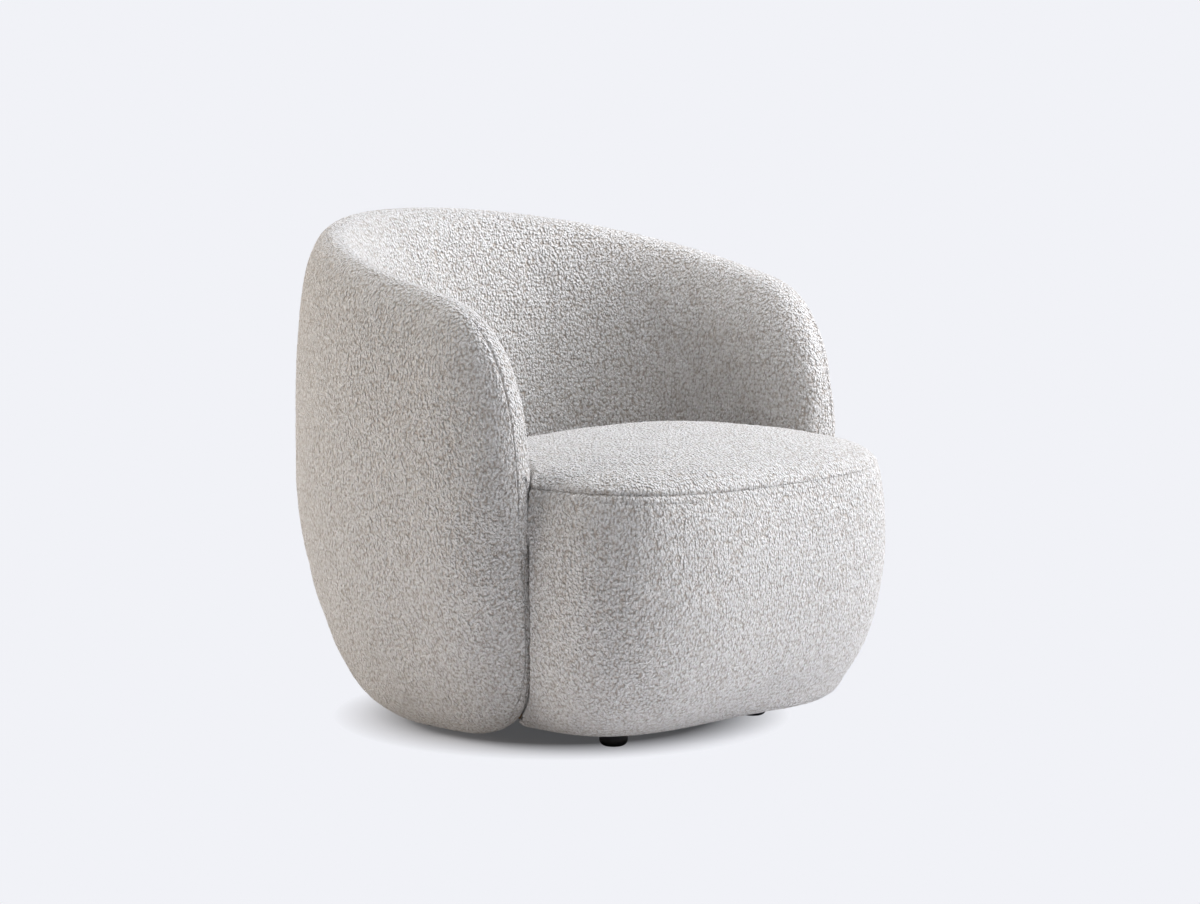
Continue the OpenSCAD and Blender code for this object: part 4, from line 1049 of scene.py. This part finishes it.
# Infill pad: a board of firm cream foam lies on the deck and the webbing, level with the tub's seat
# rail, so that the straps aren't felt. It is cut wider in front than behind, and glued down.
PAD_Z = (284.3, 300.0)
PAD_FRONT = (199.4, -299.4, -130.1)
PAD_REAR = (177.4, 195.4)
PAD_EDGE_SOFT_MM = 2
FOAM_WALL = "#f0e6c4"
FOAM_CELL = "#d9c998"
FOAM_CELL_MM = 1.6
FOAM_CELL_DEEP_MM = 0.5

foam_finish, tree, surface, at = new_finish("cream_upholstery_foam", 0.95)
cells = add_node(tree, "ShaderNodeTexVoronoi", {"feature": "F1"}, Vector=at, Scale=per_mm(FOAM_CELL_MM))
lay_on(
    tree, surface, cells.outputs["Distance"], ((0.1, FOAM_WALL), (0.7, FOAM_CELL)),
    cells.outputs["Distance"], -FOAM_CELL_DEEP_MM)

pad_outline = [
    (-PAD_FRONT[0], PAD_FRONT[1]), (PAD_FRONT[0], PAD_FRONT[1]), (PAD_FRONT[0], PAD_FRONT[2]),
    (PAD_REAR[0], PAD_FRONT[2]), (PAD_REAR[0], PAD_REAR[1]), (-PAD_REAR[0], PAD_REAR[1]),
    (-PAD_REAR[0], PAD_FRONT[2]), (-PAD_FRONT[0], PAD_FRONT[2])]
corners = len(pad_outline)
pad_faces = [tuple(range(corners))[::-1], tuple(range(corners, 2*corners))]
pad_faces += [(k, (k + 1) % corners, (k + 1) % corners + corners, k + corners) for k in range(corners)]
seat_infill_board = plain_piece(
    "seat_infill_board", [(x, y, z) for z in PAD_Z for x, y in pad_outline], pad_faces, foam_finish)
soft_edge = seat_infill_board.modifiers.new("soft_edge", "BEVEL")
soft_edge.width = PAD_EDGE_SOFT_MM/1000
soft_edge.segments = 3
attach(seat_infill_board, "root")
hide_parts("seat_infill_pad")

# Dust cloths: thin black non-woven cloth is stapled taut over the open underside of the seat and of the
# tub, with its edges turned under. It hides the frame and lets the seat breathe.
DUST_CLOTH_T = 1.0
DUST_CLOTH_Z = 29.0
DUST_SAG_MM = 0.7
DUST_SAG_RUN = 60
STUD_HOLE_R = 5.0
CLOTH_CELL_MM = 20
CLOTH_POINT_GAP = 14
CLOTH_BLACK = "#101011"
CLOTH_FIBRE = "#29292b"
CLOTH_FIBRE_MM = 1.5
CLOTH_FIBRE_DEEP_MM = 0.15

dust_cloth, tree, surface, at = new_finish("black_nonwoven_cloth", 0.85)
fibres = add_node(tree, "ShaderNodeTexNoise", Vector=at, Scale=per_mm(CLOTH_FIBRE_MM), Detail=4.0)
lay_on(
    tree, surface, fibres.outputs["Fac"], ((0.35, CLOTH_BLACK), (0.7, CLOTH_FIBRE)),
    fibres.outputs["Fac"], CLOTH_FIBRE_DEEP_MM)


def inside_outline(point, outline):
    """Whether a point of the plane lies in a closed outline."""
    x, y = point
    x0, y0 = outline[:, 0], outline[:, 1]
    x1, y1 = np.roll(x0, -1), np.roll(y0, -1)
    crosses = (y0 > y) != (y1 > y)
    at_x = x0 + (y - y0)*(x1 - x0)/np.where(crosses, y1 - y0, 1)
    return bool((crosses & (x < at_x)).sum() % 2)


# The seat's cloth follows the border's turned-in edge in front, the base plate behind, and has a hole
# for each foot's stud.
CLOTH_IN = 16
CLOTH_SIDE_X = 208
CLOTH_REAR_R = 222
half_w = SEAT_W/2 - SEAT_LOW_IN_X - CLOTH_IN
half_d = SEAT_FRONT_D - SEAT_LOW_IN_Y - CLOTH_IN
turns = np.linspace(math.pi/2, 0, 30)
right = np.stack([
    np.minimum(half_w*np.cos(turns)**(2/SEAT_POWER), CLOTH_SIDE_X),
    SEAT_CY - half_d*np.sin(turns)**(2/SEAT_POWER)], -1)
side_y = TUB_Y + math.sqrt(CLOTH_REAR_R**2 - CLOTH_SIDE_X**2)
rear_turns = np.linspace(math.atan2(side_y - TUB_Y, CLOTH_SIDE_X), math.pi/2, 24)
right = np.concatenate([right, np.stack([
    CLOTH_REAR_R*np.cos(rear_turns), TUB_Y + CLOTH_REAR_R*np.sin(rear_turns)], -1)])
right[0, 0] = 0
right[-1, 0] = 0
outline = np.concatenate([right, (right*np.array([-1, 1]))[-2:0:-1]])
feet_boxes = [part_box(f"foot_{end}_{side}") for end in ("front", "rear") for side in ("left", "right")]
studs = [tuple((np.array(low) + np.array(high))[:2]*500) for low, high in feet_boxes]
hole_turns = np.linspace(0, 2*math.pi, 21)[:-1]
holes = [[(x + STUD_HOLE_R*math.cos(a), y + STUD_HOLE_R*math.sin(a)) for a in hole_turns] for x, y in studs]
between = [
    (x, y) for x in np.arange(-200, 201, CLOTH_CELL_MM) for y in np.arange(-280, 240, CLOTH_CELL_MM)
    if inside_outline((x, y), outline*0.96)
    and min(math.dist((x, y), stud) for stud in studs) > CLOTH_POINT_GAP]
flat_points = [Vector(p) for p in outline] + [Vector(p) for hole in holes for p in hole]
loops_of = [list(range(len(outline)))]
for k in range(len(holes)):
    first = len(outline) + k*len(hole_turns)
    loops_of.append(list(range(first, first + len(hole_turns))))
flat_edges = [(loop[k], loop[(k + 1) % len(loop)]) for loop in loops_of for k in range(len(loop))]
flat_points += [Vector(p) for p in between]
found, _, triangles, *_ = geometry.delaunay_2d_cdt(flat_points, flat_edges, [], 0, 1e-4)
kept = []
for triangle in triangles:
    middle = sum((found[n] for n in triangle), Vector((0, 0)))/3
    to_stud = min((middle - Vector(stud)).length for stud in studs)
    if inside_outline(middle, outline) and to_stud > STUD_HOLE_R*0.97:
        kept.append(tuple(triangle))
cloth_points = []
for p in found:
    edge_gap = min(np.hypot(*(outline - np.array(p)).T).min(), DUST_SAG_RUN)
    sag = DUST_SAG_MM*edge_gap/DUST_SAG_RUN
    cloth_points.append((p.x, p.y, DUST_CLOTH_Z + DUST_CLOTH_T/2 - sag))
seat_dust_cloth = plain_piece("seat_dust_cloth", cloth_points, kept, dust_cloth)

# The tub's cloth is a strip under the base rail. Its ends lie behind the wool under the arms.
CLOTH_LAP = 6
CLOTH_ROWS = 22
CLOTH_STATIONS = 171
CLOTH_INSET = 0.9
cloth_reach = FRAME_RUN - UNDER_ARM_MM + CLOTH_LAP
cloth_d = np.linspace(-cloth_reach, cloth_reach, CLOTH_STATIONS)
cloth_rows = []
for d in cloth_d:
    foot = float(angle_inside(d, TUB_CLOTH_Z))
    angles, _, _ = section_angles(d, foot, 2*math.pi - float(seam_angle(d)), CLOTH_ROWS)
    cloth_rows.append(wall_point(np.full(len(angles), d), angles, CLOTH_INSET))
cloth_rows = np.array(cloth_rows)
tub_dust_cloth = make_mesh(
    "tub_dust_cloth", cloth_rows.reshape(-1, 3), grid_cells(*cloth_rows.shape[:2]), dust_cloth)

for cloth, stands_for, flat, carried_by in (
        (seat_dust_cloth, "seat_bottom_cloth", (0.43, 0.52), "seat_base_plate"),
        (tub_dust_cloth, "wall_bottom_cloth", (0.06, 1.07), "base_rail")):
    body = cloth.modifiers.new("thickness", "SOLIDIFY")
    body.thickness = DUST_CLOTH_T/1000
    body.offset = 0
    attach(cloth, "root")
    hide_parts(stands_for)


# Studio: a pale seamless floor with a soft shadow, big soft boxes above and at the front right, and a
# smaller one behind on the left. The pale background comes from colour, never from more light.
BACKDROP = "#f1f2f7"
FLOOR_REACH_MM = 9000
FLOOR_LIT = "#d2d3d8"
FLOOR_BOUNCE = "#efeff2"
SHADOW_SOFTENED = 0.08
SHADOW_CENTRE = (-0.03, 0.0, 0.0)
SHADOW_FROM_M = 0.225
SHADOW_TO_M = 0.335
ROOM_TONE = "#f8f0e8"
ROOM_LIGHT = 0.12

world = bpy.data.worlds.new("studio")
bpy.context.scene.world = world
world.use_nodes = True
tree = world.node_tree
tree.nodes.clear()
ray = add_node(tree, "ShaderNodeLightPath")
seen = add_node(
    tree, "ShaderNodeMath", {"operation": "MAXIMUM"}, _0=ray.outputs["Is Camera Ray"],
    _1=ray.outputs["Is Transmission Ray"])
backdrop = add_node(tree, "ShaderNodeBackground", Color=linear(BACKDROP), Strength=1.0)
room = add_node(tree, "ShaderNodeBackground", Color=linear(ROOM_TONE), Strength=ROOM_LIGHT)
mixed = add_node(
    tree, "ShaderNodeMixShader", _0=seen.outputs["Value"], _1=room.outputs["Background"],
    _2=backdrop.outputs["Background"])
add_node(tree, "ShaderNodeOutputWorld", _0=mixed.outputs["Shader"])

floor_finish = bpy.data.materials.new("painted_studio_floor")
floor_finish.use_nodes = True
tree = floor_finish.node_tree
tree.nodes.clear()
where = add_node(tree, "ShaderNodeNewGeometry")
away = add_node(
    tree, "ShaderNodeVectorMath", {"operation": "DISTANCE"}, _0=where.outputs["Position"],
    _1=SHADOW_CENTRE)
fade = add_node(
    tree, "ShaderNodeMapRange", Value=away.outputs["Value"], From_Min=SHADOW_FROM_M,
    From_Max=SHADOW_TO_M, To_Min=SHADOW_SOFTENED, To_Max=1.0)
ray = add_node(tree, "ShaderNodeLightPath")
only_seen = add_node(
    tree, "ShaderNodeMath", {"operation": "MULTIPLY"}, _0=fade.outputs["Result"],
    _1=ray.outputs["Is Camera Ray"])
paint_colour = add_node(
    tree, "ShaderNodeMix", {"data_type": "RGBA"}, _0=ray.outputs["Is Camera Ray"], _6=linear(FLOOR_BOUNCE),
    _7=linear(FLOOR_LIT))
paint = add_node(tree, "ShaderNodeBsdfDiffuse", Color=paint_colour.outputs[2])
even = add_node(tree, "ShaderNodeEmission", Color=linear(BACKDROP), Strength=1.0)
floor_mix = add_node(
    tree, "ShaderNodeMixShader", _0=only_seen.outputs["Value"], _1=paint.outputs["BSDF"],
    _2=even.outputs["Emission"])
add_node(tree, "ShaderNodeOutputMaterial", _0=floor_mix.outputs["Shader"])
floor_corners = [(x*FLOOR_REACH_MM, y*FLOOR_REACH_MM, 0) for x, y in ((-1, -1), (1, -1), (1, 1), (-1, 1))]
floor = plain_piece("floor", floor_corners, [(0, 1, 2, 3)], floor_finish)


CHAIR_MIDDLE_Z = 0.35


def soft_box(name, direction, distance, size, watts, colour):
    """A square lamp in a direction from the chair, aimed at the middle of the chair."""
    lamp = bpy.data.lights.new(name, "AREA")
    lamp.shape = "SQUARE"
    lamp.size = size
    lamp.energy = watts
    lamp.color = linear(colour)[:3]
    holder = put(name, lamp)
    aim = Vector(direction).normalized()
    holder.location = Vector((0, 0, CHAIR_MIDDLE_Z)) + aim*distance
    holder.rotation_euler = (-aim).to_track_quat("-Z", "Y").to_euler()


soft_box("soft_box_above", (0.22, -0.3, 1.0), 2.6, 2.2, 92, "#f1f6ff")
soft_box("soft_box_right", (0.72, -0.72, 0.6), 3.4, 2.0, 114, "#f9fbff")
soft_box("soft_box_left_rear", (-0.8, 0.95, 0.35), 3.4, 1.6, 84, "#fff8ef")

# Camera: a long lens, a little higher than the chair, where the photograph's outline and vanishing
# lines put it. Metres and degrees.
CAMERA_AT = (-3.3585, -3.1797, 0.9218)
CAMERA_AZ = math.radians(-46.68)
CAMERA_EL = math.radians(6.99)
LENS_MM = 95.49
SHIFT = (0.0152, 0.0157)

lens = bpy.data.cameras.new("camera")
lens.lens = LENS_MM
lens.sensor_width = 36
lens.shift_x, lens.shift_y = SHIFT
camera = put("camera", lens)
camera.location = CAMERA_AT
back = Vector((math.sin(CAMERA_AZ)*math.cos(CAMERA_EL), -math.cos(CAMERA_AZ)*math.cos(CAMERA_EL),
               math.sin(CAMERA_EL)))
camera.rotation_euler = (-back).to_track_quat("-Z", "Y").to_euler()
bpy.context.scene.camera = camera
bpy.context.scene.view_settings.view_transform = "Standard"
